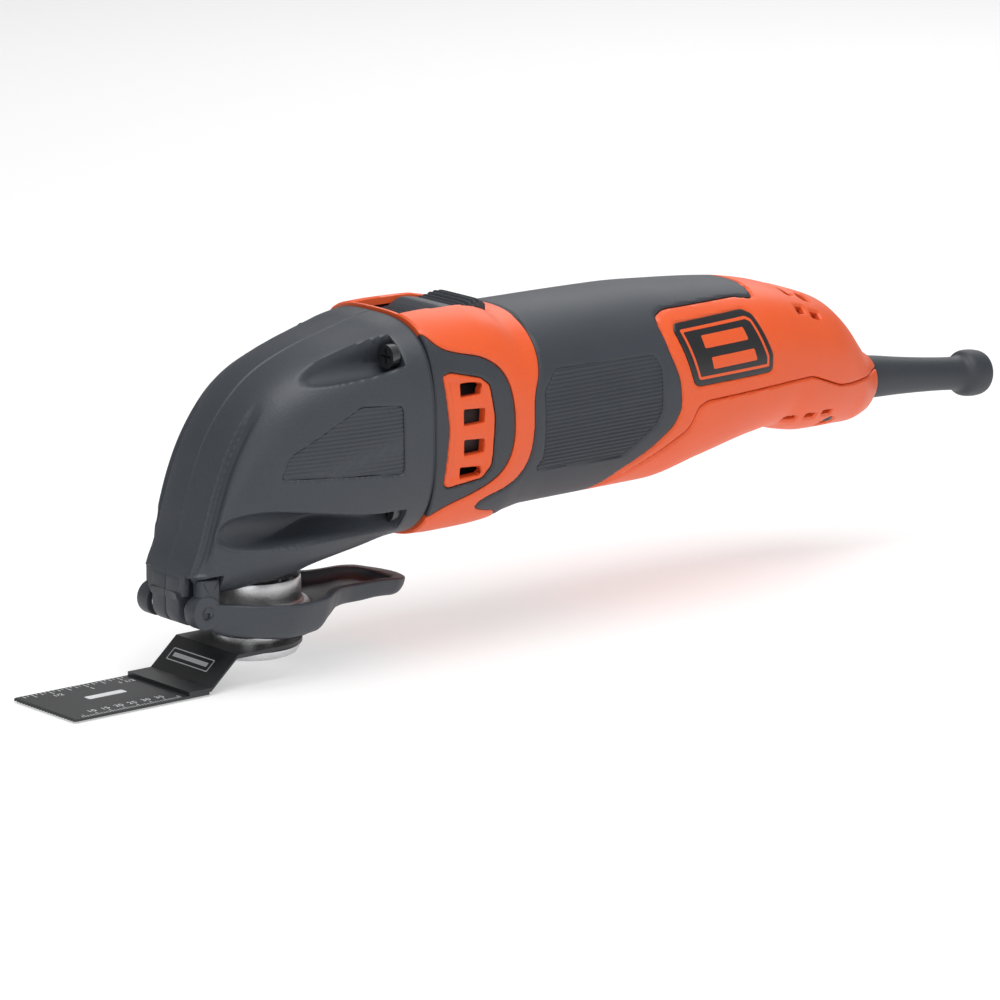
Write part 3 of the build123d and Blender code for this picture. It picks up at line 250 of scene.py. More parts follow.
#            x     low   high  half  squareness
stations = [(seam_x, 26.4, 97.0, 31.0, 3.2), (56.0, 26.0, 97.2, 31.4, 3.15), (70.0, 25.9, 97.0, 31.6, 3.0),
            (78.0, 26.0, 95.7, 31.4, 2.8), (86.0, 27.2, 93.2, 31.1, 2.5), (96.0, 28.3, 92.2, 31.0, 2.4),
            (120.0, 28.5, 92.0, 31.0, 2.4), (145.0, 28.7, 91.6, 31.0, 2.4), (166.0, 32.6, 90.2, 30.2, 2.4),
            (190.0, 37.2, 87.9, 28.4, 2.4), (200.0, 38.2, 86.1, 27.2, 2.35), (208.3, 36.0, 83.8, 26.0, 2.3),
            (216.0, 34.6, 81.4, 24.4, 2.25), (225.3, 34.2, 77.8, 22.0, 2.2), (233.0, 34.0, 72.0, 19.2, 2.15),
            (238.3, 33.8, 66.0, 17.0, 2.1), (246.3, 35.0, 58.0, 11.8, 2.0),
            (body_end_x, 38.4, 54.8, 8.3, 2.0)]
station_x, station_low, station_high, station_half, station_square = np.array(stations).T
body_low, body_high = through(station_x, station_low), through(station_x, station_high)
body_half, body_square = through(station_x, station_half), through(station_x, station_square)


def body_form(x, angle):
    """A point of the envelope: at x, the superellipse of that cross section."""
    low, high = body_low(x), body_high(x)
    y, z = oval(body_half(x), (high - low) / 2, body_square(x), angle)
    return np.stack([x + 0 * y, y, z + (low + high) / 2], axis=-1)


def facing(surface, u, v, e=1e-3):
    """Outward unit normals: the cross product of the surface's two directions, each over 2e."""
    along = surface(u + e, v) - surface(u - e, v)
    around = surface(u, v + e) - surface(u, v - e)
    n = np.cross(around, along)
    return n / np.maximum(np.linalg.norm(n, axis=-1, keepdims=True), 1e-12)


def relieved(surface, depth):
    """The surface pushed in along its normal by depth, a function of the point."""
    def lowered(u, v):
        p = surface(u, v)
        return p - facing(surface, u, v) * depth(p)[..., None]
    return lowered


def ease(x, low, high):
    """0 below low, 1 above high, a smooth cubic step between."""
    s = np.clip((x - low) / (high - low), 0, 1)
    return s * s * (3 - 2 * s)


def rounded(points, times=3, closed=True):
    """Corner cutting: each side keeps its middle half, so corners turn into smooth bends."""
    p = np.asarray(points, float)
    for _ in range(times):
        q = np.roll(p, -1, axis=0)
        cut = np.stack([0.75 * p + 0.25 * q, 0.25 * p + 0.75 * q], axis=1).reshape(-1, *p.shape[1:])
        p = cut if closed else np.concatenate([p[:1], cut[:-2], p[-1:]])
    return p


def lookup(measure, outline, step=0.4, margin=7.0):
    """The signed distance measure read from a table round the outline, bilinear between its entries."""
    tool_low, tool_high = (-45, 8), (265, 108)       # x and z that the tool lies within
    low, high = outline.min(0) - margin, outline.max(0) + margin
    low, high = np.maximum(low, tool_low), np.minimum(high, tool_high)
    shape = np.ceil((high - low) / step).astype(int) + 1
    a = low[0] + step * np.arange(shape[0])
    b = low[1] + step * np.arange(shape[1])
    table = measure(*np.meshgrid(a, b, indexing="ij"))

    def read(x, z):
        i = np.clip((x - low[0]) / step, 0, shape[0] - 1.001)
        j = np.clip((z - low[1]) / step, 0, shape[1] - 1.001)
        i0, j0 = i.astype(int), j.astype(int)
        s, t = i - i0, j - j0
        return ((table[i0, j0] * (1 - s) + table[i0 + 1, j0] * s) * (1 - t)
                + (table[i0, j0 + 1] * (1 - s) + table[i0 + 1, j0 + 1] * s) * t)
    return read


def distance_to(outline):
    """Signed distance from (a, b) to a closed outline, negative inside: nearest side, and the
    crossing count for the sign."""
    batch, tiny = 20000, 1e-12
    start = np.asarray(outline, float)
    end = np.roll(start, -1, axis=0)
    side = end - start
    length2 = np.maximum((side ** 2).sum(1), tiny)

    def measure(a, b):
        shape = np.shape(a)
        p = np.stack([np.ravel(a), np.ravel(b)], axis=1)
        out = np.empty(len(p))
        for k in range(0, len(p), batch):
            q = p[k:k + batch, None, :] - start[None]
            t = np.clip((q * side).sum(2) / length2, 0, 1)
            near = np.sqrt((((q - t[..., None] * side) ** 2).sum(2)).min(1))
            pa, pb = p[k:k + batch, None, 0], p[k:k + batch, None, 1]
            spans = (start[:, 1] > pb) != (end[:, 1] > pb)
            dy = np.where(np.abs(side[:, 1]) < tiny, tiny, side[:, 1])
            left = pa < start[:, 0] + (pb - start[:, 1]) / dy * side[:, 0]
            inside = (spans & left).sum(1) % 2 == 1
            out[k:k + batch] = np.where(inside, -near, near)
        return out.reshape(shape)
    return measure


def build(name, points, quads, finish_used, node=(), body=None, slot=None, sharp=32.0, tris=None):
    """An object from points (mm) and four- or three-cornered faces, shaded smooth where they meet at
    less than sharp degrees. Its body is that of the CAD node it stands for, or given; slot is not used."""
    mesh = bpy.data.meshes.new(name)
    quads = np.asarray(quads, np.int64).reshape(-1, 4)
    tris = np.asarray(tris if tris is not None else np.zeros((0, 3)), np.int64).reshape(-1, 3)
    points = np.asarray(points, float).reshape(-1, 3)
    p = points - points.mean(0)
    volume = (p[quads[:, 0]] * np.cross(p[quads[:, 1]], p[quads[:, 2]])).sum()
    volume += (p[quads[:, 0]] * np.cross(p[quads[:, 2]], p[quads[:, 3]])).sum()
    volume += (p[tris[:, 0]] * np.cross(p[tris[:, 1]], p[tris[:, 2]])).sum()
    if volume < 0:                                   # a closed mesh whose faces look inward
        quads, tris = quads[:, ::-1], tris[:, ::-1]
    corners = np.concatenate([quads.ravel(), tris.ravel()])
    starts = np.concatenate([np.arange(len(quads)) * 4, len(quads) * 4 + np.arange(len(tris)) * 3])
    mesh.vertices.add(len(points))
    mesh.vertices.foreach_set("co", (points * mm).ravel())
    mesh.loops.add(len(corners))
    mesh.loops.foreach_set("vertex_index", corners)
    mesh.polygons.add(len(starts))
    mesh.polygons.foreach_set("loop_start", starts)
    mesh.update(calc_edges=True)
    mesh.validate()
    mesh.polygons.foreach_set("use_smooth", np.ones(len(mesh.polygons), bool))
    mesh.set_sharp_from_angle(angle=math.radians(sharp))
    mesh.materials.append(finish_used)
    piece = bpy.data.objects.new(name, mesh)
    bpy.context.scene.collection.objects.link(piece)
    nodes = (node,) if isinstance(node, str) else node
    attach(piece, body or body_of_node[nodes[0]])
    if nodes:
        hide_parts(*nodes)
        slot = slot or slot_of_node[nodes[0]]
    return piece


def cut_shell(surface, u, v, outline, thick, roll=0.5, loops=False):
    """Points and faces of a shell cut from a surface. The grid u by v is kept where outline, a signed
    distance, is negative; edge points slide along the surface onto the outline; the rim is rolled over;
    the inside is the outside moved in by thick. With loops, v goes once round and closes on itself."""
    gu, gv = np.meshgrid(u, v, indexing="ij")
    nu, nv = gu.shape
    mid_u = (gu[:-1, :-1] + gu[1:, :-1] + gu[:-1, 1:] + gu[1:, 1:]) / 4
    mid_v = (gv[:-1, :-1] + gv[1:, :-1] + gv[:-1, 1:] + gv[1:, 1:]) / 4
    kept = outline(surface(mid_u, mid_v)) < 0
    if loops:                                        # last row meets the first
        wrapped = np.pad(kept, ((1, 1), (0, 0)))
        wrapped = np.concatenate([wrapped[:, -1:], wrapped, wrapped[:, :1]], axis=1)
    else:
        wrapped = np.pad(kept, 1)
    touching = wrapped[:-1, :-1].astype(int) + wrapped[1:, :-1] + wrapped[:-1, 1:] + wrapped[1:, 1:]
    used = touching > 0
    rim = used & (touching < 4)
    e, rounds = 1e-3, 4
    least_speed, least_slope = 0.2, 0.05             # keep a pinched grid from dividing by nothing
    near, longest = 1.6, 0.8                         # mm: how far an edge point is taken, and per round
    ru, rv = gu[rim], gv[rim]
    for _ in range(rounds):
        p = surface(ru, rv)
        f = outline(p)
        pu, pv = surface(ru + e, rv), surface(ru, rv + e)
        lu = np.maximum(np.linalg.norm(pu - p, axis=-1) / e, least_speed)
        lv = np.maximum(np.linalg.norm(pv - p, axis=-1) / e, least_speed)
        fu, fv = (outline(pu) - f) / e / lu, (outline(pv) - f) / e / lv
        size = np.maximum(fu ** 2 + fv ** 2, least_slope)
        reach = np.where(np.abs(f) < near, np.clip(f / size, -longest, longest), 0)
        ru = np.clip(ru - reach * fu / lu, u[0], u[-1])
        rv = rv - reach * fv / lv
        if not loops:
            rv = np.clip(rv, v[0], v[-1])
    gu[rim], gv[rim] = ru, rv
    if loops:
        gu[:, -1], gv[:, -1] = gu[:, 0], gv[:, 0] + (v[-1] - v[0])
    p = surface(gu, gv)
    n = facing(surface, gu, gv)
    inward = np.where(rim, 0.0, np.clip(-outline(p), 0, roll))
    drop = roll - np.sqrt(np.maximum(roll ** 2 - (roll - inward) ** 2, 0))
    outer = p - n * np.where(used, drop, 0)[..., None]
    inner = p - n * thick
    index = -np.ones((nu, nv), int)
    if loops:
        used = used.copy()
        used[:, -1] = False
    index[used] = np.arange(used.sum())
    if loops:
        index[:, -1] = index[:, 0]
    count = used.sum()
    a, b = index[:-1, :-1][kept], index[1:, :-1][kept]
    c, d = index[1:, 1:][kept], index[:-1, 1:][kept]
    faces = [np.stack([a, d, c, b], 1), np.stack([a, b, c, d], 1) + count]

    def rim_faces(first, second):
        """Faces that join an outer edge to the inner one below it."""
        return np.stack([first, second, second + count, first + count], 1)

    pad = np.pad(kept, ((1, 1), (0, 0)))
    low = pad[1:] & ~pad[:-1]                        # kept after, empty before, along u
    high = pad[:-1] & ~pad[1:]
    i, j = np.nonzero(low)
    faces.append(rim_faces(index[i, j + 1], index[i, j]))
    i, j = np.nonzero(high)
    faces.append(rim_faces(index[i, j], index[i, j + 1]))
    if loops:
        before = np.roll(kept, 1, axis=1)
        low, high = kept & ~before, before & ~kept
    else:
        pad = np.pad(kept, ((0, 0), (1, 1)))
        low, high = pad[:, 1:] & ~pad[:, :-1], pad[:, :-1] & ~pad[:, 1:]
    i, j = np.nonzero(low)
    faces.append(rim_faces(index[i, j], index[i + 1, j]))
    i, j = np.nonzero(high)
    faces.append(rim_faces(index[i + 1, j], index[i, j]))
    return np.concatenate([outer[used], inner[used]]), np.concatenate(faces)


def skin(rings, loop=False):
    """Points and faces of a closed skin over rings of equal length (ring, place, xyz). Ends are fans
    to their middle, or with loop the last ring joins the first."""
    rings = np.asarray(rings, float)
    count, around = rings.shape[:2]
    index = np.arange(count * around).reshape(count, around)
    if loop:
        index = np.concatenate([index, index[:1]])
    a, b = index[:-1], index[1:]
    quads = np.stack([a, np.roll(a, -1, 1), np.roll(b, -1, 1), b], -1).reshape(-1, 4)
    points = rings.reshape(-1, 3)
    if loop:
        return points, quads, np.zeros((0, 3), int)
    middle = np.stack([rings[0].mean(0), rings[-1].mean(0)])
    first, last = index[0], index[-1]
    top, bottom = np.full(around, len(points)), np.full(around, len(points) + 1)
    tris = np.concatenate([np.stack([top, np.roll(first, -1), first], 1),
                           np.stack([bottom, last, np.roll(last, -1)], 1)])
    return np.concatenate([points, middle]), quads, tris


def turned(profile, centre, along, count=96, loop=False):
    """A profile of (radius, height) revolved about the line from centre in direction along."""
    along = np.asarray(along, float) / np.linalg.norm(along)
    across = np.cross(along, [0, 1, 0] if abs(along[1]) < 0.9 else [1, 0, 0])
    across /= np.linalg.norm(across)
    third = np.cross(along, across)
    r, h = np.asarray(profile, float).T
    angle = np.linspace(0, 2 * math.pi, count, endpoint=False)
    wheel = np.cos(angle)[:, None] * across + np.sin(angle)[:, None] * third
    rings = np.asarray(centre) + h[:, None, None] * along + r[:, None, None] * wheel
    return skin(rings, loop)


def slab(outline, axis, low, high, roll=0.5, steps=4):
    """A closed outline pushed out along axis from low to high, its edges rolled over in some steps."""
    p = np.asarray(outline, float)
    edge = np.roll(p, -1, 0) - np.roll(p, 1, 0)
    area = (p[:, 0] * np.roll(p[:, 1], -1) - np.roll(p[:, 0], -1) * p[:, 1]).sum()
    inward = np.stack([-edge[:, 1], edge[:, 0]], 1) * np.sign(area)
    inward /= np.maximum(np.linalg.norm(inward, axis=1, keepdims=True), 1e-9)
    turn_at = np.linspace(0, math.pi / 2, steps)
    inset = np.concatenate([roll * (1 - np.sin(turn_at)), roll * (1 - np.sin(turn_at[::-1]))])
    height = np.concatenate([low + roll * (1 - np.cos(turn_at)), high - roll * (1 - np.cos(turn_at[::-1]))])
    flat = p[None] + inward[None] * inset[:, None, None]
    h = np.broadcast_to(height[:, None], flat.shape[:2])
    order = {"x": (h, flat[..., 0], flat[..., 1]), "y": (flat[..., 0], h, flat[..., 1]),
             "z": (flat[..., 0], flat[..., 1], h)}[axis]
    return skin(np.stack(order, -1))


def joined(*parts):
    """Several closed meshes as one: points and faces put end to end."""
    points, quads, tris, base = [], [], [], 0
    for part in parts:
        points.append(part[0])
        quads.append(part[1] + base)
        tris.append((part[2] if len(part) > 2 else np.zeros((0, 3), int)) + base)
        base += len(part[0])
    return np.concatenate(points), np.concatenate(quads), np.concatenate(tris)


def mirrored(part):
    """The same closed mesh on the other side of the middle plane, faces turned to look outward."""
    return part[0] * [1, -1, 1], part[1][:, ::-1], part[2][:, ::-1]


def cornered(points, size):
    """An outline rounded only near its corners: each gets neighbours at distance size, then is cut."""
    p = np.asarray(points, float)
    ahead, behind = np.roll(p, -1, 0) - p, np.roll(p, 1, 0) - p
    reach_a = np.minimum(size / np.linalg.norm(ahead, axis=1, keepdims=True), 0.45)
    reach_b = np.minimum(size / np.linalg.norm(behind, axis=1, keepdims=True), 0.45)
    return rounded(np.stack([p + behind * reach_b, p, p + ahead * reach_a], 1).reshape(-1, 2), 3)


def side_view(points, corner=None):
    """Signed distance in the side view, x and z, to an outline: all smooth, or its corners alone."""
    outline = cornered(points, corner) if corner else rounded(points, 3)
    measure = lookup(distance_to(outline), outline)
    return lambda p: measure(p[..., 0], p[..., 2])


# ------------------------------------------------------------------ gearcase halves
# Two glass-filled nylon clamshells meet on the middle plane. The crown falls in one curve from the
# seam to the nose, screw pockets run forward as scoops, and a groove frames the flat spine.
crown = np.array([(-32.4, 17.66), (-31.95, 24.0), (-30.7, 28.7), (-28.5, 33.6), (-26.7, 38.8), (-24.4, 46.3),
                  (-21.7, 53.8), (-18.6, 61.0), (-15.1, 67.1), (-10.7, 72.8), (-6.3, 77.2), (-1.9, 80.7),
                  (4.2, 84.2), (11.2, 87.0), (20.0, 89.8), (28.9, 92.0), (35.1, 93.5), (40.5, 94.8),
                  (47.5, 95.9)])
crown_run = np.concatenate([[0], np.cumsum(np.hypot(*np.diff(crown, axis=0).T))])
crown_x, crown_z = through(crown_run, crown[:, 0]), through(crown_run, crown[:, 1])
belly_z = through([-33, -20, -10.4, -1.9, 5, 11.2, 28.9, 40.1, 48],
                  [17.6, 17.6, 17.8, 18.3, 19.6, 21.4, 24.8, 26.9, 27.4])
case_half = through([-33, -31.9, -28.6, -24.4, -18.6, -10.7, -1.9, 11.2, 28.9, 47.6],
                    [12.0, 12.4, 14.0, 15.8, 18.2, 21.2, 24.2, 26.8, 29.2, 31.0])
case_square = 3.0
pocket_r, pocket_y, pocket_zs, pocket_end_x = 6.3, 20.8, (86.0, 38.2), 39.9
pocket_lip = 0.4
half_gap = 0.14                                      # each half stops this far from the middle plane
nose_notch = (-21.7, 8.9, 25.2)                      # room for the lever's arms: x, |y|, z of its corner
nose_step = (-21.7, 6.9, 19.0)
mouth_r, mouth_top = 16.2, 30                        # the hole for the bearing collar
case_end_x = 47.4
flank_y = 15                                         # side view outlines count beyond this |y|
shell_wall, rib_wall = 2.4, 1.6


def case_form(u, angle):
    """At distance u along the crown line: the superellipse between belly and crown."""
    x = crown_x(u)
    low, high = belly_z(x), crown_z(u)
    y, z = oval(case_half(x), (high - low) / 2, case_square, angle)
    return np.stack([x + 0 * y, y, z + (low + high) / 2], axis=-1)


case_patch = side_view([(22.6, 73.4), (36.8, 72.2), (37.0, 50.8), (-5.2, 53.8), (-2.2, 60.6)], 3.5)


def case_depth(p, n):
    """How far to move in at p: to the far wall of a screw pocket's cylinder, or by the spine groove."""
    x, y, z = p[..., 0], np.abs(p[..., 1]), p[..., 2]
    depth = np.zeros_like(x)
    for pocket_z in pocket_zs:
        qy, qz = y - pocket_y, z - pocket_z
        out = qy * n[..., 1] * np.sign(p[..., 1] + 1e-9) + qz * n[..., 2]
        away = np.hypot(qy, qz)
        far = out + np.sqrt(np.maximum(out ** 2 + pocket_r ** 2 - away ** 2, 0))
        soft = ease(pocket_r + pocket_lip - away, 0, 2.3) * ease(pocket_end_x - x, 0, 0.7)
        depth = np.maximum(depth, np.where(away < pocket_r + pocket_lip, far * soft, 0))
    groove = 1.5 * ease(y, 11.2, 12.4) * (1 - ease(y, 14.2, 16.0))
    groove = groove * ease(z, 24.5, 27) * (1 - ease(x, -14, -5))
    return np.maximum(depth, groove)


def case_surface(u, angle):
    """The case form moved in along its normal by the pocket and groove depth."""
    p = case_form(u, angle)
    n = facing(case_form, u, angle)
    return p - n * case_depth(p, n)[..., None]


def case_outline(p):
    """Negative where a half has material: off the middle plane, outside notch, collar hole and patch."""
    x, y, z = p[..., 0], np.abs(p[..., 1]), p[..., 2]
    notch, step = [np.maximum.reduce([x - far_x, near_y - y, z - top_z])
                   for far_x, near_y, top_z in (nose_notch, nose_step)]
    mouth = np.maximum(np.hypot(x, y) - mouth_r, z - mouth_top)
    patch = np.maximum(case_patch(p), flank_y - y)
    return np.maximum.reduce([half_gap - y, x - case_end_x, -notch, -step, -mouth, -patch])


case_u = np.linspace(0, crown_run[-1], 240)
for side_name, middle in flanks:
    start = middle - math.pi / 2
    case_v = even_angles(185, 27.0, 34.0, case_square, start, start + math.pi)
    build(f"gearcase_{side_name}_shell",
          *cut_shell(case_surface, case_u, case_v, case_outline, shell_wall, roll=0.45),
          case_plastic, "gearcase_" + side_name)

# Rib patch: fine level ribs set in a shallow frame on each cheek.
rib_pitch, rib_depth, fit_gap = 1.25, 0.4, 0.12


def ribbed(surface, sunk):
    """The surface moved in by sunk and, between one rib and the next, by rib_depth more."""
    return relieved(surface, lambda p: sunk + rib_depth * (0.5 - 0.5 * np.cos(2 * math.pi * p[..., 2]
                                                                              / rib_pitch)))


case_ribs = ribbed(case_form, 0.28)
patch_u = np.linspace(crown_run[8], crown_run[-1] - 6, 70)
for side_name, middle in flanks:
    patch_v = np.linspace(middle - 0.95, middle + 0.95, 300)
    build("case_ribs_" + side_name,
          *cut_shell(case_ribs, patch_u, patch_v, lambda p: case_patch(p) + fit_gap, rib_wall, roll=0.1),
          case_plastic, body="housing", slot="case_plastic", sharp=60)

# Hinge knuckle under the nose, between the lever arms, parted like the case.
hinge_x, hinge_z, knuckle_r, knuckle_half = -27, 14.3, 5.25, 6.75
around = np.linspace(math.pi, 2 * math.pi, 25)
knuckle = np.concatenate([
    np.stack([hinge_x + knuckle_r * np.cos(around), hinge_z + knuckle_r * np.sin(around)], 1),
    [(-21.8, 18.0), (-22.6, 23.0), (-25.0, 25.2), (-31.0, 25.2), (-31.9, 24.7), (-32.25, 23.8),
     (-32.25, 18.0)]])
for side, side_name in ((RIGHT, "right"), (LEFT, "left")):
    low, high = sorted((side * half_gap, side * knuckle_half))
    points, quads, tris = slab(knuckle, "y", low, high, 0.45)
    build("knuckle_" + side_name, points, quads, case_plastic, body="housing", slot="case_plastic",
          tris=tris)


# ------------------------------------------------------------------ bearing collar
# Die-cast ring in the belly: a wide foot flange, a fillet and a plain neck with a thin rim.
collar_profile = rounded([(14.2, 8.4), (18.4, 8.4), (18.4, 11.6), (16.2, 12.0), (15.6, 13.2), (15.6, 19.6),
                          (14.7, 19.8), (14.4, 17.0), (14.2, 16.0)], 2)
points, quads, tris = turned(collar_profile, (0, 0, 0), (0, 0, 1), count=128, loop=True)
build("collar", points, quads, cast_metal, "bearing_collar")

# ------------------------------------------------------------------ squeeze lever
# One moulding: two hinge arms, a bowl-shaped wall round the collar and a scooped finger rest.
#              outer top edge   inner bottom edge  top   bottom  taper wall
lever_knots = [(-26.0, -14.4, -26.0, -9.7, 17.2, 8.4, 0.3, 4.5),
               (-20.0, -16.6, -20.4, -9.9, 16.2, 5.9, 0.9, 3.6),
               (-10.0, -21.9, -8.9, -18.6, 15.3, 4.1, 2.3, 2.4),
               (1.0, -24.8, 0.8, -20.6, 14.6, 3.2, 2.9, 2.0),
               (12.0, -22.9, 9.8, -18.2, 14.6, 3.4, 2.6, 2.0),
               (19.5, -18.2, 15.2, -13.9, 15.0, 5.6, 2.0, 2.8),
               (25.6, -14.2, 18.6, -8.8, 14.4, 7.4, 1.5, 3.4),
               (31.3, -12.3, 20.8, -0.0, 13.8, 7.3, 1.3, 3.0),
               (37.0, -11.9, 26.0, -0.0, 13.6, 7.2, 1.2, 2.7),
               (42.5, -12.0, 33.0, -0.0, 13.5, 7.4, 1.2, 2.8),
               (48.0, -11.9, 41.0, -0.0, 13.0, 7.0, 1.3, 3.4),
               (52.8, -9.3, 45.0, -0.0, 12.2, 6.4, 1.4, 4.2),
               (55.7, -5.0, 46.5, -0.0, 11.8, 6.2, 1.5, 4.8),
               (56.7, 0.0, 47.0, -0.0, 11.7, 6.1, 1.5, 5.0)]
knot = np.array(lever_knots)
far_side = knot[-2::-1] * [1, -1, 1, -1, 1, 1, 1, 1]
knot = np.concatenate([knot, far_side])
at = np.linspace(0, len(knot) - 1, 340)
tx, ty, ex, ey, zt, zb, taper, wall = [through(np.arange(len(knot)), column)(at) for column in knot.T]
# Each section, as distance inward from the outer top edge and height, from one inner end to the other.
reach = np.hypot(ex - tx, ey - ty)
dx, dy = (ex - tx) / reach, (ey - ty) / reach
rise_z = zt - zb
shape = np.stack([
    np.stack([reach, zb + 0.5], 1), np.stack([taper + 2.6, zb + 0.0], 1), np.stack([taper + 0.7, zb + 0.7], 1),
    np.stack([taper * 0.55, zb + 0.42 * rise_z], 1), np.stack([0 * zt, zt - 1.2], 1),
    np.stack([0 * zt + 0.1, zt], 1), np.stack([wall - 0.1, zt], 1), np.stack([wall, zt - 1.2], 1),
    np.stack([taper * 0.5 + wall, zb + 0.5 * rise_z + 0.6], 1),
    np.stack([taper + wall + 0.8, zb + 2.6], 1), np.stack([reach, zb + 2.5], 1)])
shape = rounded(shape, 2, closed=False)
away = np.minimum(shape[..., 0], reach)
lever_rings = np.stack([tx + dx * away, ty + dy * away, shape[..., 1]], -1).transpose(1, 0, 2)
boss = turned([(0.02, 9.6), (4.9, 9.6), (5.2, 9.8), (5.3, 10.2), (5.3, 14.2), (5.15, 14.65), (4.8, 14.9),
               (2.5, 14.9), (2.2, 14.8), (2.05, 14.5), (1.95, 13.8), (0.02, 13.7)],
              (hinge_x, 0, hinge_z), (0, -1, 0), 64)
lug_line = cornered([(-29.0, 14.0), (-22.2, 14.0), (-22.2, 24.3), (-29.0, 24.3)], 0.9)
lug = slab(lug_line, "y", -14.4, -9.6, 0.6)
points, quads, tris = joined(skin(lever_rings), boss, mirrored(boss), lug, mirrored(lug))
build("lever", points, quads, case_plastic, "clamp_lever", tris=tris)

# ------------------------------------------------------------------ clamp flange
# Bright turned washer under the blade, its lower edge coned in.
flange_profile = rounded([(4.4, -1.3), (15.2, -1.3), (15.3, -2.4), (13.6, -5.0), (4.4, -5.0)], 2)
points, quads, tris = turned(flange_profile, (0, 0, 0), (0, 0, 1), count=128, loop=True)
build("clamp_washer", points, quads, cast_metal, "clamp_flange")

# ------------------------------------------------------------------ blade and its printed scales
# Black painted steel plate and cranked shank. Pale print: millimetres along the left edge, inches
# along the right edge, a plain lozenge in the middle and a framed bar on the crank.
for node_name, edge in (("cutting_blade", 0.08), ("blade_shank", 0.25)):
    soften = frame["nodes"][node_name].modifiers.new("softened_edges", "BEVEL")
    soften.width, soften.segments, soften.limit_method = edge * mm, 2, "ANGLE"
    soften.angle_limit = math.radians(30)
plate_top, tip_x, edge_y = -9.8, -77.8, 15.875
sixteenth = 1.5875
ink_low, ink_high = -0.02, 0.03                      # print, from just under the paint to just over it


def stripe(x0, x1, y0, y1):
    """A thin printed bar on the plate's upper face."""
    return slab([(x0, y0), (x1, y0), (x1, y1), (x0, y1)], "z", plate_top + ink_low, plate_top + ink_high,
                0.01, 2)


metric = [stripe(tip_x + k - 0.12, tip_x + k + 0.12,
                 -edge_y + 0.5, -edge_y + (3.0 if k % 5 == 0 else 1.7)) for k in range(4, 41)]
inches = [stripe(tip_x + k * sixteenth - 0.14, tip_x + k * sixteenth + 0.14,
                 edge_y - (3.8 if k % 4 == 0 else 2.6 if k % 2 == 0 else 1.7), edge_y - 0.5)
          for k in range(2, 26)]
points, quads, tris = joined(*metric, *inches)
build("blade_scales", points, quads, print_grey, body="spindle", slot="dark_steel", tris=tris)


def printed(name, text, size, x, y):
    """Scale numerals: built-in letter shapes, a hair proud of the plate."""
    curve = bpy.data.curves.new(name, "FONT")
    curve.body, curve.size, curve.extrude = text, size * mm, 0.03 * mm
    curve.align_x, curve.align_y, curve.resolution_u = "CENTER", "CENTER", 3
    lettering = bpy.data.objects.new(name + "_curve", curve)
    mesh = bpy.data.meshes.new_from_object(lettering)
    bpy.data.objects.remove(lettering)
    place = np.empty(len(mesh.vertices) * 3)
    mesh.vertices.foreach_get("co", place)
    mesh.vertices.foreach_set("co", (place.reshape(-1, 3) + np.array([x, y, plate_top]) * mm).ravel())
    mesh.materials.clear()
    mesh.materials.append(print_grey)
    piece = bpy.data.objects.new(name, mesh)
    bpy.context.scene.collection.objects.link(piece)
    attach(piece, "spindle")


for k in range(10, 36, 5):
    printed(f"scale_mm_{k}", str(k), 3.2, tip_x + k, -edge_y + 4.9)
for k, text in ((8, "1/2"), (16, "1"), (24, "1 1/2")):
    printed(f"scale_inch_{k}", text, 2.9, tip_x + k * sixteenth, edge_y - 5.8)
lozenge = cornered([(-60.5, 0.2), (-46.5, 0.2), (-46.5, 3.4), (-60.5, 3.4)], 1.5)
points, quads, tris = slab(lozenge, "z", plate_top + ink_low, plate_top + ink_high, 0.01, 2)
build("blade_lozenge", points, quads, print_grey, body="spindle", slot="dark_steel", tris=tris)
slope_start, slope_end = np.array([-16.6, 0.0, 0.0]), np.array([-26.4, 0.0, -8.6])
slope_down = (slope_end - slope_start) / np.linalg.norm(slope_end - slope_start)
slope_out = np.array([slope_down[2], 0.0, -slope_down[0]])


def on_crank(part):
    """From flat coordinates (along Y, down the slope, out) to the crank's sloping face."""
    middle = (slope_start + slope_end) / 2 + [0, 2.0, 0]
    flat = part[0]
    points = middle + flat[:, :1] * [0, 1, 0] + flat[:, 1:2] * slope_down + flat[:, 2:] * slope_out
    return points, part[1], part[2]


frame_x, frame_y, frame_w, ink_half = 10.4, 2.3, 0.35, 0.05
outer_frame = cornered([(-frame_x, -frame_y), (frame_x, -frame_y), (frame_x, frame_y),
                        (-frame_x, frame_y)], 1.0)
inner_frame = outer_frame * [(frame_x - frame_w) / frame_x, (frame_y - frame_w) / frame_y]
frame_rings = np.stack([np.column_stack([ring, np.full(len(ring), h)]) for ring, h in
                        ((outer_frame, -ink_half), (outer_frame, ink_half),
                         (inner_frame, ink_half), (inner_frame, -ink_half))])
points, quads, tris = on_crank(skin(frame_rings, loop=True))
build("crank_frame", points, quads, print_grey, body="spindle", slot="dark_steel")
bar_line = cornered([(-8.6, -0.75), (8.6, -0.75), (8.6, 0.75), (-8.6, 0.75)], 0.4)
points, quads, tris = on_crank(slab(bar_line, "z", -ink_half, ink_half, 0.01, 2))
build("crank_bar", points, quads, print_grey, body="spindle", slot="dark_steel", tris=tris)

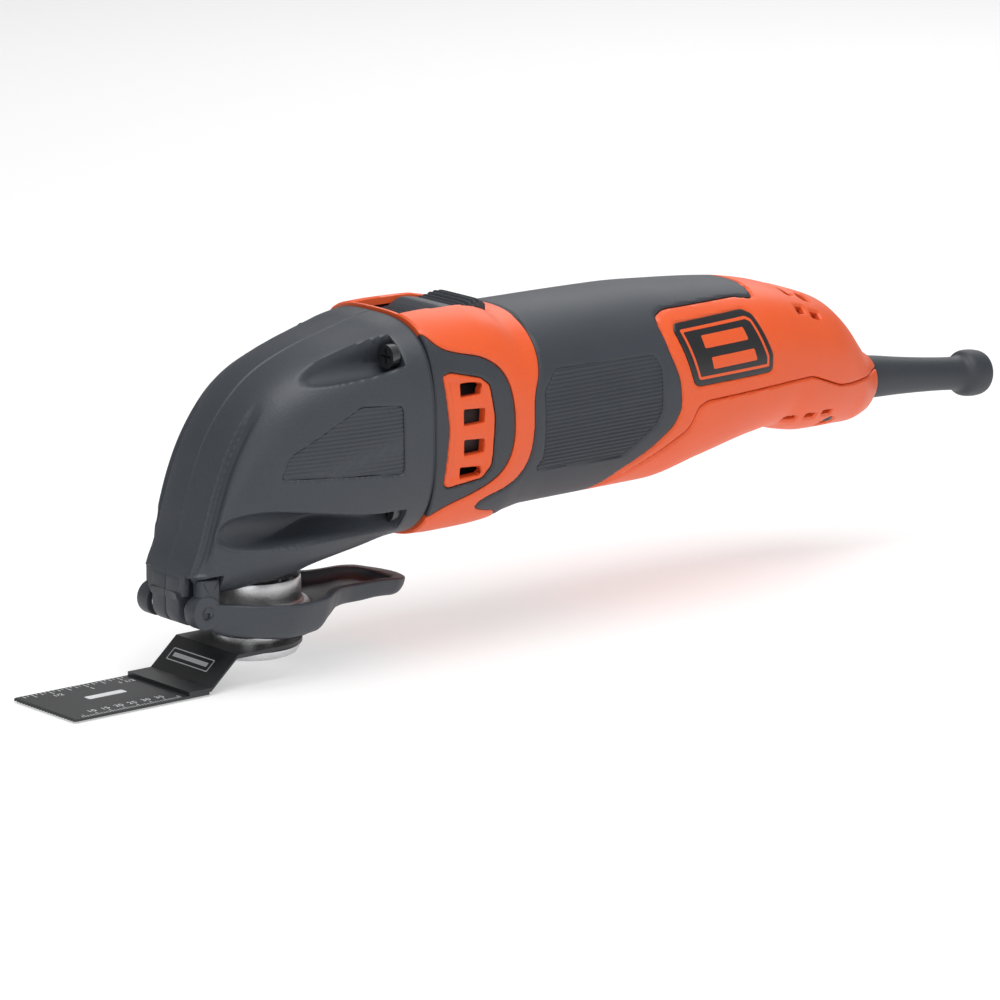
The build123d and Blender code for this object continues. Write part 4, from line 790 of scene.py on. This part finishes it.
# ------------------------------------------------------------------ front collar and switch well
# Orange band round the front of the motor end, open under the switch and where each panel sits.
# The outlines of the neighbouring parts are drawn here too, in the side view.
to_front = side_view([(93.4, 110), (92.8, 89), (91.4, 76), (87.4, 68), (87.6, 56), (85.6, 46), (79.6, 40.6),
                      (67.4, 37.6), (66.6, 34), (83.6, 30.6), (84.6, 10), (20, 10), (20, 110)])
to_rear = side_view([(118, 10), (121.5, 31), (127.2, 37.4), (137.6, 44.4), (145, 50.8), (147.6, 56), (147, 65),
                     (143.9, 74), (142.6, 82), (143.4, 85), (148, 86.4), (180, 85.9), (188, 84.4), (192.5, 90),
                     (193.5, 110), (280, 110), (280, 10)], 7)
to_lower = side_view([(110, 28), (118, 28), (131.8, 36.8), (143.4, 43.4), (151.8, 48.6), (155, 55),
                      (158.5, 56.6), (207, 57.2), (222.3, 51.6), (229, 51), (262, 51), (262, 5), (110, 5)], 4)
to_panel = side_view([(38.4, 93.6), (48.4, 93.2), (52.9, 87.3), (60.5, 85), (69, 83.1), (76.7, 77.3),
                      (79.6, 66.6), (79.6, 54.3), (75.9, 45.9), (66.4, 41.1), (53.6, 37.6), (48.4, 34),
                      (38.4, 33.0)])
to_grille = side_view([(52, 79.2), (55, 80), (66.5, 77), (69.9, 74.3), (71.8, 63.6), (70.7, 48.9), (67.3, 45.1),
                       (53.8, 43.7), (52.1, 45.2), (54, 62.1)], 2.5)
front_x = 48.5                                       # where the motor end's shells start
well_x, well_half_x, well_half_y, well_low_z = 67.0, 17.5, 11.6, 60
band_wall, panel_wall, grille_wall = 2.6, 2.2, 3.2


def panel_region(p):
    """Negative inside the panel outline on either flank."""
    return np.maximum(to_panel(p), flank_y - np.abs(p[..., 1]))


def well_region(p):
    """Negative inside the switch opening in plan, on the upper side only."""
    return np.maximum.reduce([np.abs(p[..., 0] - well_x) - well_half_x,
                              np.abs(p[..., 1]) - well_half_y, well_low_z - p[..., 2]])


def full_turn(count=270):
    """Angles once round a typical body section, evenly spaced along it, starting at the bottom."""
    return even_angles(count, 31.0, 32.0, 2.5, -math.pi / 2, 1.5 * math.pi)


def lengthwise(start, end, step=0.75):
    """Even stations along X."""
    return np.linspace(start, end, int(round((end - start) / step)) + 1)


def front_outline(p):
    """The band: ahead of the grip's edge, less the two panels and the switch opening."""
    return np.maximum.reduce([front_x - p[..., 0], to_front(p) + fit_gap, 0.2 - panel_region(p),
                              0.0 - well_region(p)])


build("front_band",
      *cut_shell(body_form, lengthwise(seam_x, 96), full_turn(300), front_outline, band_wall, loops=True),
      orange_plastic, "front_collar")


# Vent panels: a charcoal insert on each side, a little below the band, round the grille.
def panel_outline(p):
    """The panel's own outline less the grille's."""
    return np.maximum.reduce([front_x - p[..., 0], panel_region(p) + 0.1, 0.15 - to_grille(p)])


def sunk_form(depth):
    """The envelope moved in evenly by depth."""
    return relieved(body_form, lambda p: depth + 0 * p[..., 0])


for side_name, middle in flanks:
    panel_v = np.linspace(middle - 1.45, middle + 1.45, 240)
    build(f"vent_panel_{side_name}_skin",
          *cut_shell(sunk_form(0.35), lengthwise(seam_x, 81, 0.5), panel_v, panel_outline, panel_wall),
          panel_plastic, "vent_panel_" + side_name)

# Grilles: an orange frame with four windows, dished inside its edge.
windows = [(58.8, 66.6, 71.6, 76.0), (59.9, 68.0, 62.4, 67.8), (60.0, 67.8, 53.0, 58.2),
           (58.6, 66.4, 45.9, 49.6)]
to_windows = [side_view([(x0, z0), (x1, z0 + 0.2), (x1 + 0.3, z1 - 0.6), (x0, z1)], 0.8)
              for x0, x1, z0, z1 in windows]


def grille_outline(p):
    """The grille's own outline less its four windows."""
    return np.maximum.reduce([to_grille(p) + 0.1] + [0.0 - window(p) for window in to_windows])


grille_form = relieved(body_form, lambda p: 0.7 + 0.5 * ease(-to_grille(p), 1.5, 2.6))
for side_name, middle in flanks:
    grille_v = np.linspace(middle - 0.9, middle + 0.9, 150)
    build(f"vent_grille_{side_name}_skin",
          *cut_shell(grille_form, lengthwise(51, 73, 0.4), grille_v, grille_outline, grille_wall, roll=0.4),
          orange_plastic, "vent_grille_" + side_name)

# ------------------------------------------------------------------ grip sleeve
# Overmoulded charcoal grip between the orange parts; a field of fine level ribs on each flank.
grip_patch = side_view([(97.5, 75.3), (137.2, 74.3), (139.5, 70.2), (139.6, 57), (137.4, 52.4), (124.9, 43),
                        (89.4, 44.1), (92, 47.9), (91.9, 69.2)], 3.5)


def grip_outline(p):
    """Between the front band and the rear covers, less the rib field on each flank."""
    patch = np.maximum(grip_patch(p), flank_y - np.abs(p[..., 1]))
    return np.maximum.reduce([fit_gap - to_front(p), fit_gap - to_rear(p), -patch])


build("grip",
      *cut_shell(body_form, lengthwise(64, 195), full_turn(), grip_outline, shell_wall, loops=True),
      grip_rubber, "grip_sleeve")
for side_name, middle in flanks:
    ribs_v = np.linspace(middle - 0.75, middle + 0.75, 300)
    build("grip_ribs_" + side_name,
          *cut_shell(ribbed(body_form, 0.2), lengthwise(88, 141, 1.0), ribs_v,
                     lambda p: grip_patch(p) + fit_gap, rib_wall, roll=0.1),
          grip_rubber, body="housing", slot="grip_rubber", sharp=60)

# ------------------------------------------------------------------ rear covers
# Orange upper and lower covers; short vent slots near the tail above and below.
slots = [[(206.5, 84.6), (210.0, 83.4), (209.6, 81.4), (206.0, 82.4)],
         [(213.0, 82.2), (217.2, 80.2), (216.8, 78.2), (212.6, 80.0)],
         [(205.0, 79.6), (209.2, 78.8), (208.8, 76.8), (204.6, 77.4)],
         [(212.0, 77.0), (216.4, 75.6), (216.0, 73.6), (211.8, 75.0)]]
to_slots = [side_view(slot, 0.7) for slot in slots]
low_slots = [[(x, 43.4), (x + 4.6, 43.2), (x + 4.6, 41.4), (x, 41.6)] for x in (201.0, 209.0, 217.0)]
to_low_slots = [side_view(slot, 0.6) for slot in low_slots]
to_label = side_view([(147.8, 80), (149.2, 82.2), (179.6, 82.6), (183, 80.8), (188, 67.6), (187.6, 62.6),
                      (186, 61.8), (154.8, 61.8), (152.8, 63)], 2.5)
cover_end_x = 251.2
screw_spots = ((172.0, 22.5, 46.5), (223.3, 12.5, 38.5))   # x, |y| and z of each pair's heads
well_spot, screw_well_r, screw_well_top = screw_spots[1], 3.3, 50


def upper_outline(p):
    """Behind the grip and above the parting line, less the label seats and the upper slots."""
    label = np.maximum(to_label(p) + 0.05, 12 - np.abs(p[..., 1]))
    return np.maximum.reduce([to_rear(p) + fit_gap, half_gap - to_lower(p), p[..., 0] - cover_end_x, -label]
                             + [-slot(p) for slot in to_slots])


def lower_outline(p):
    """Behind the grip and below the parting line, less the rear screw wells and the lower slots."""
    well_away = np.hypot(p[..., 0] - well_spot[0], np.abs(p[..., 1]) - well_spot[1])
    well = np.maximum(well_away - screw_well_r, p[..., 2] - screw_well_top)
    return np.maximum.reduce([to_rear(p) + fit_gap, to_lower(p) + half_gap, p[..., 0] - cover_end_x]
                             + [-slot(p) for slot in to_low_slots] + [-well])


for name, start, outline in (("upper", 118, upper_outline), ("lower", 116, lower_outline)):
    build("cover_" + name,
          *cut_shell(body_form, lengthwise(start, body_end_x), full_turn(), outline, shell_wall,
                     roll=0.6, loops=True),
          orange_plastic, "rear_cover_" + name)

# Four screws pull the covers together from below; the heads of the rear two show in their wells.
screw_line = [(0.02, 0.0), (2.5, 0.0), (2.7, 0.2), (2.7, 1.8), (1.5, 2.0), (1.5, 12.0), (0.02, 12.4)]
screws = [turned(screw_line, (x, side * y, z), (0, 0, 1), count=32)
          for x, y, z in screw_spots for side in (LEFT, RIGHT)]
points, quads, tris = joined(*screws)
build("cover_screw_set", points, quads, screw_steel, "cover_screws", tris=tris)

# ------------------------------------------------------------------ label plates
# Black film plates with an orange rounded border and plain bars where a name would be.
bars = [[(158.0, 77.4), (176.5, 77.6), (177.6, 73.6), (158.6, 73.4)],
        [(160.6, 70.4), (179.4, 70.6), (180.4, 66.8), (161.2, 66.6)]]
to_bars = [side_view(bar, 0.9) for bar in bars]
plate_form, print_form = sunk_form(0.25), sunk_form(0.16)
plate_wall, print_wall = 1.4, 0.2
for side_name, middle in flanks:
    low, high = (-0.2, 1.3) if side_name == "right" else (-1.3, 0.2)
    label_v = np.linspace(middle + low, middle + high, 170)
    build("label_" + side_name,
          *cut_shell(plate_form, lengthwise(146, 190, 0.5), label_v,
                     lambda p: to_label(p) + 0.15, plate_wall, roll=0.2),
          label_film, "label_plate_" + side_name)
    build("label_border_" + side_name,
          *cut_shell(print_form, lengthwise(146, 190, 0.3), label_v,
                     lambda p: np.abs(to_label(p) + 2.6) - 0.45, print_wall, roll=0.02),
          orange_plastic, body="housing", slot="orange_plastic")
    for k, bar in enumerate(to_bars):
        build(f"label_bar_{side_name}_{k}",
              *cut_shell(print_form, lengthwise(156, 182, 0.4), label_v, bar, print_wall, roll=0.02),
              orange_plastic, body="housing", slot="orange_plastic")

# ------------------------------------------------------------------ cord boot
# Hollow rubber strain relief, tapering from the gland to a plain neck, with a bead at its mouth.
boot_line = [(3.8, -6.0), (6.9, -6.0), (7.1, 1.0), (6.9, 6.0), (6.3, 14.0), (5.8, 24.0), (5.5, 34.0),
             (5.5, 40.5), (5.7, 43.2), (7.3, 44.6), (7.8, 46.6), (7.8, 50.0), (7.2, 53.2), (5.6, 54.4),
             (3.8, 54.4), (3.8, 30.0)]
tilt = math.radians(6.2)
points, quads, tris = turned(rounded(boot_line, 2), (body_end_x, 0, 46.6),
                             (math.cos(tilt), 0, -math.sin(tilt)), loop=True)
build("boot", points, quads, boot_rubber, "cord_boot")

# ------------------------------------------------------------------ slide switch
# Ribbed thumb slide: low ribbed toe, smooth hump and a stair of ribs rising to the rear.
stops, places = 230, 72                              # sections along X, points round each
button_half, button_low = 10.6, 90.5
button_x = np.linspace(55.2, 83.8, stops)
button_top = through([55, 57, 61, 63.5, 67, 71, 74, 80, 83, 84],
                     [92.6, 93.4, 93.8, 95.0, 96.2, 95.6, 94.9, 95.9, 95.7, 95.2])(button_x)


def thumb_ribs(start, end, fade, pitch, height):
    """Cosine ribs that fade in over 1 before start and out over fade after end."""
    field = ease(button_x, start - 1, start) * (1 - ease(button_x, end, end + fade))
    return field * np.cos(2 * math.pi * (button_x - start) / pitch) * height


button_top = button_top + thumb_ribs(57, 61, 1, 1.7, 0.35) + thumb_ribs(74, 83, 0.6, 2.0, 0.6)
ring = np.linspace(0, 2 * math.pi, places, endpoint=False)
ring_y, ring_z = oval(button_half, 1.0, 7.0, ring)
ring_height = np.where(ring_z > 0, button_top[:, None] - (1 - ring_z) * 2.4, button_low + (1 + ring_z) * 1.2)
button_rings = np.stack([np.broadcast_to(button_x[:, None], (stops, places)),
                         np.broadcast_to(ring_y, (stops, places)), ring_height], -1)
points, quads, tris = skin(button_rings)
build("switch_slide_button", points, quads, panel_plastic, "switch_button", tris=tris, sharp=50)
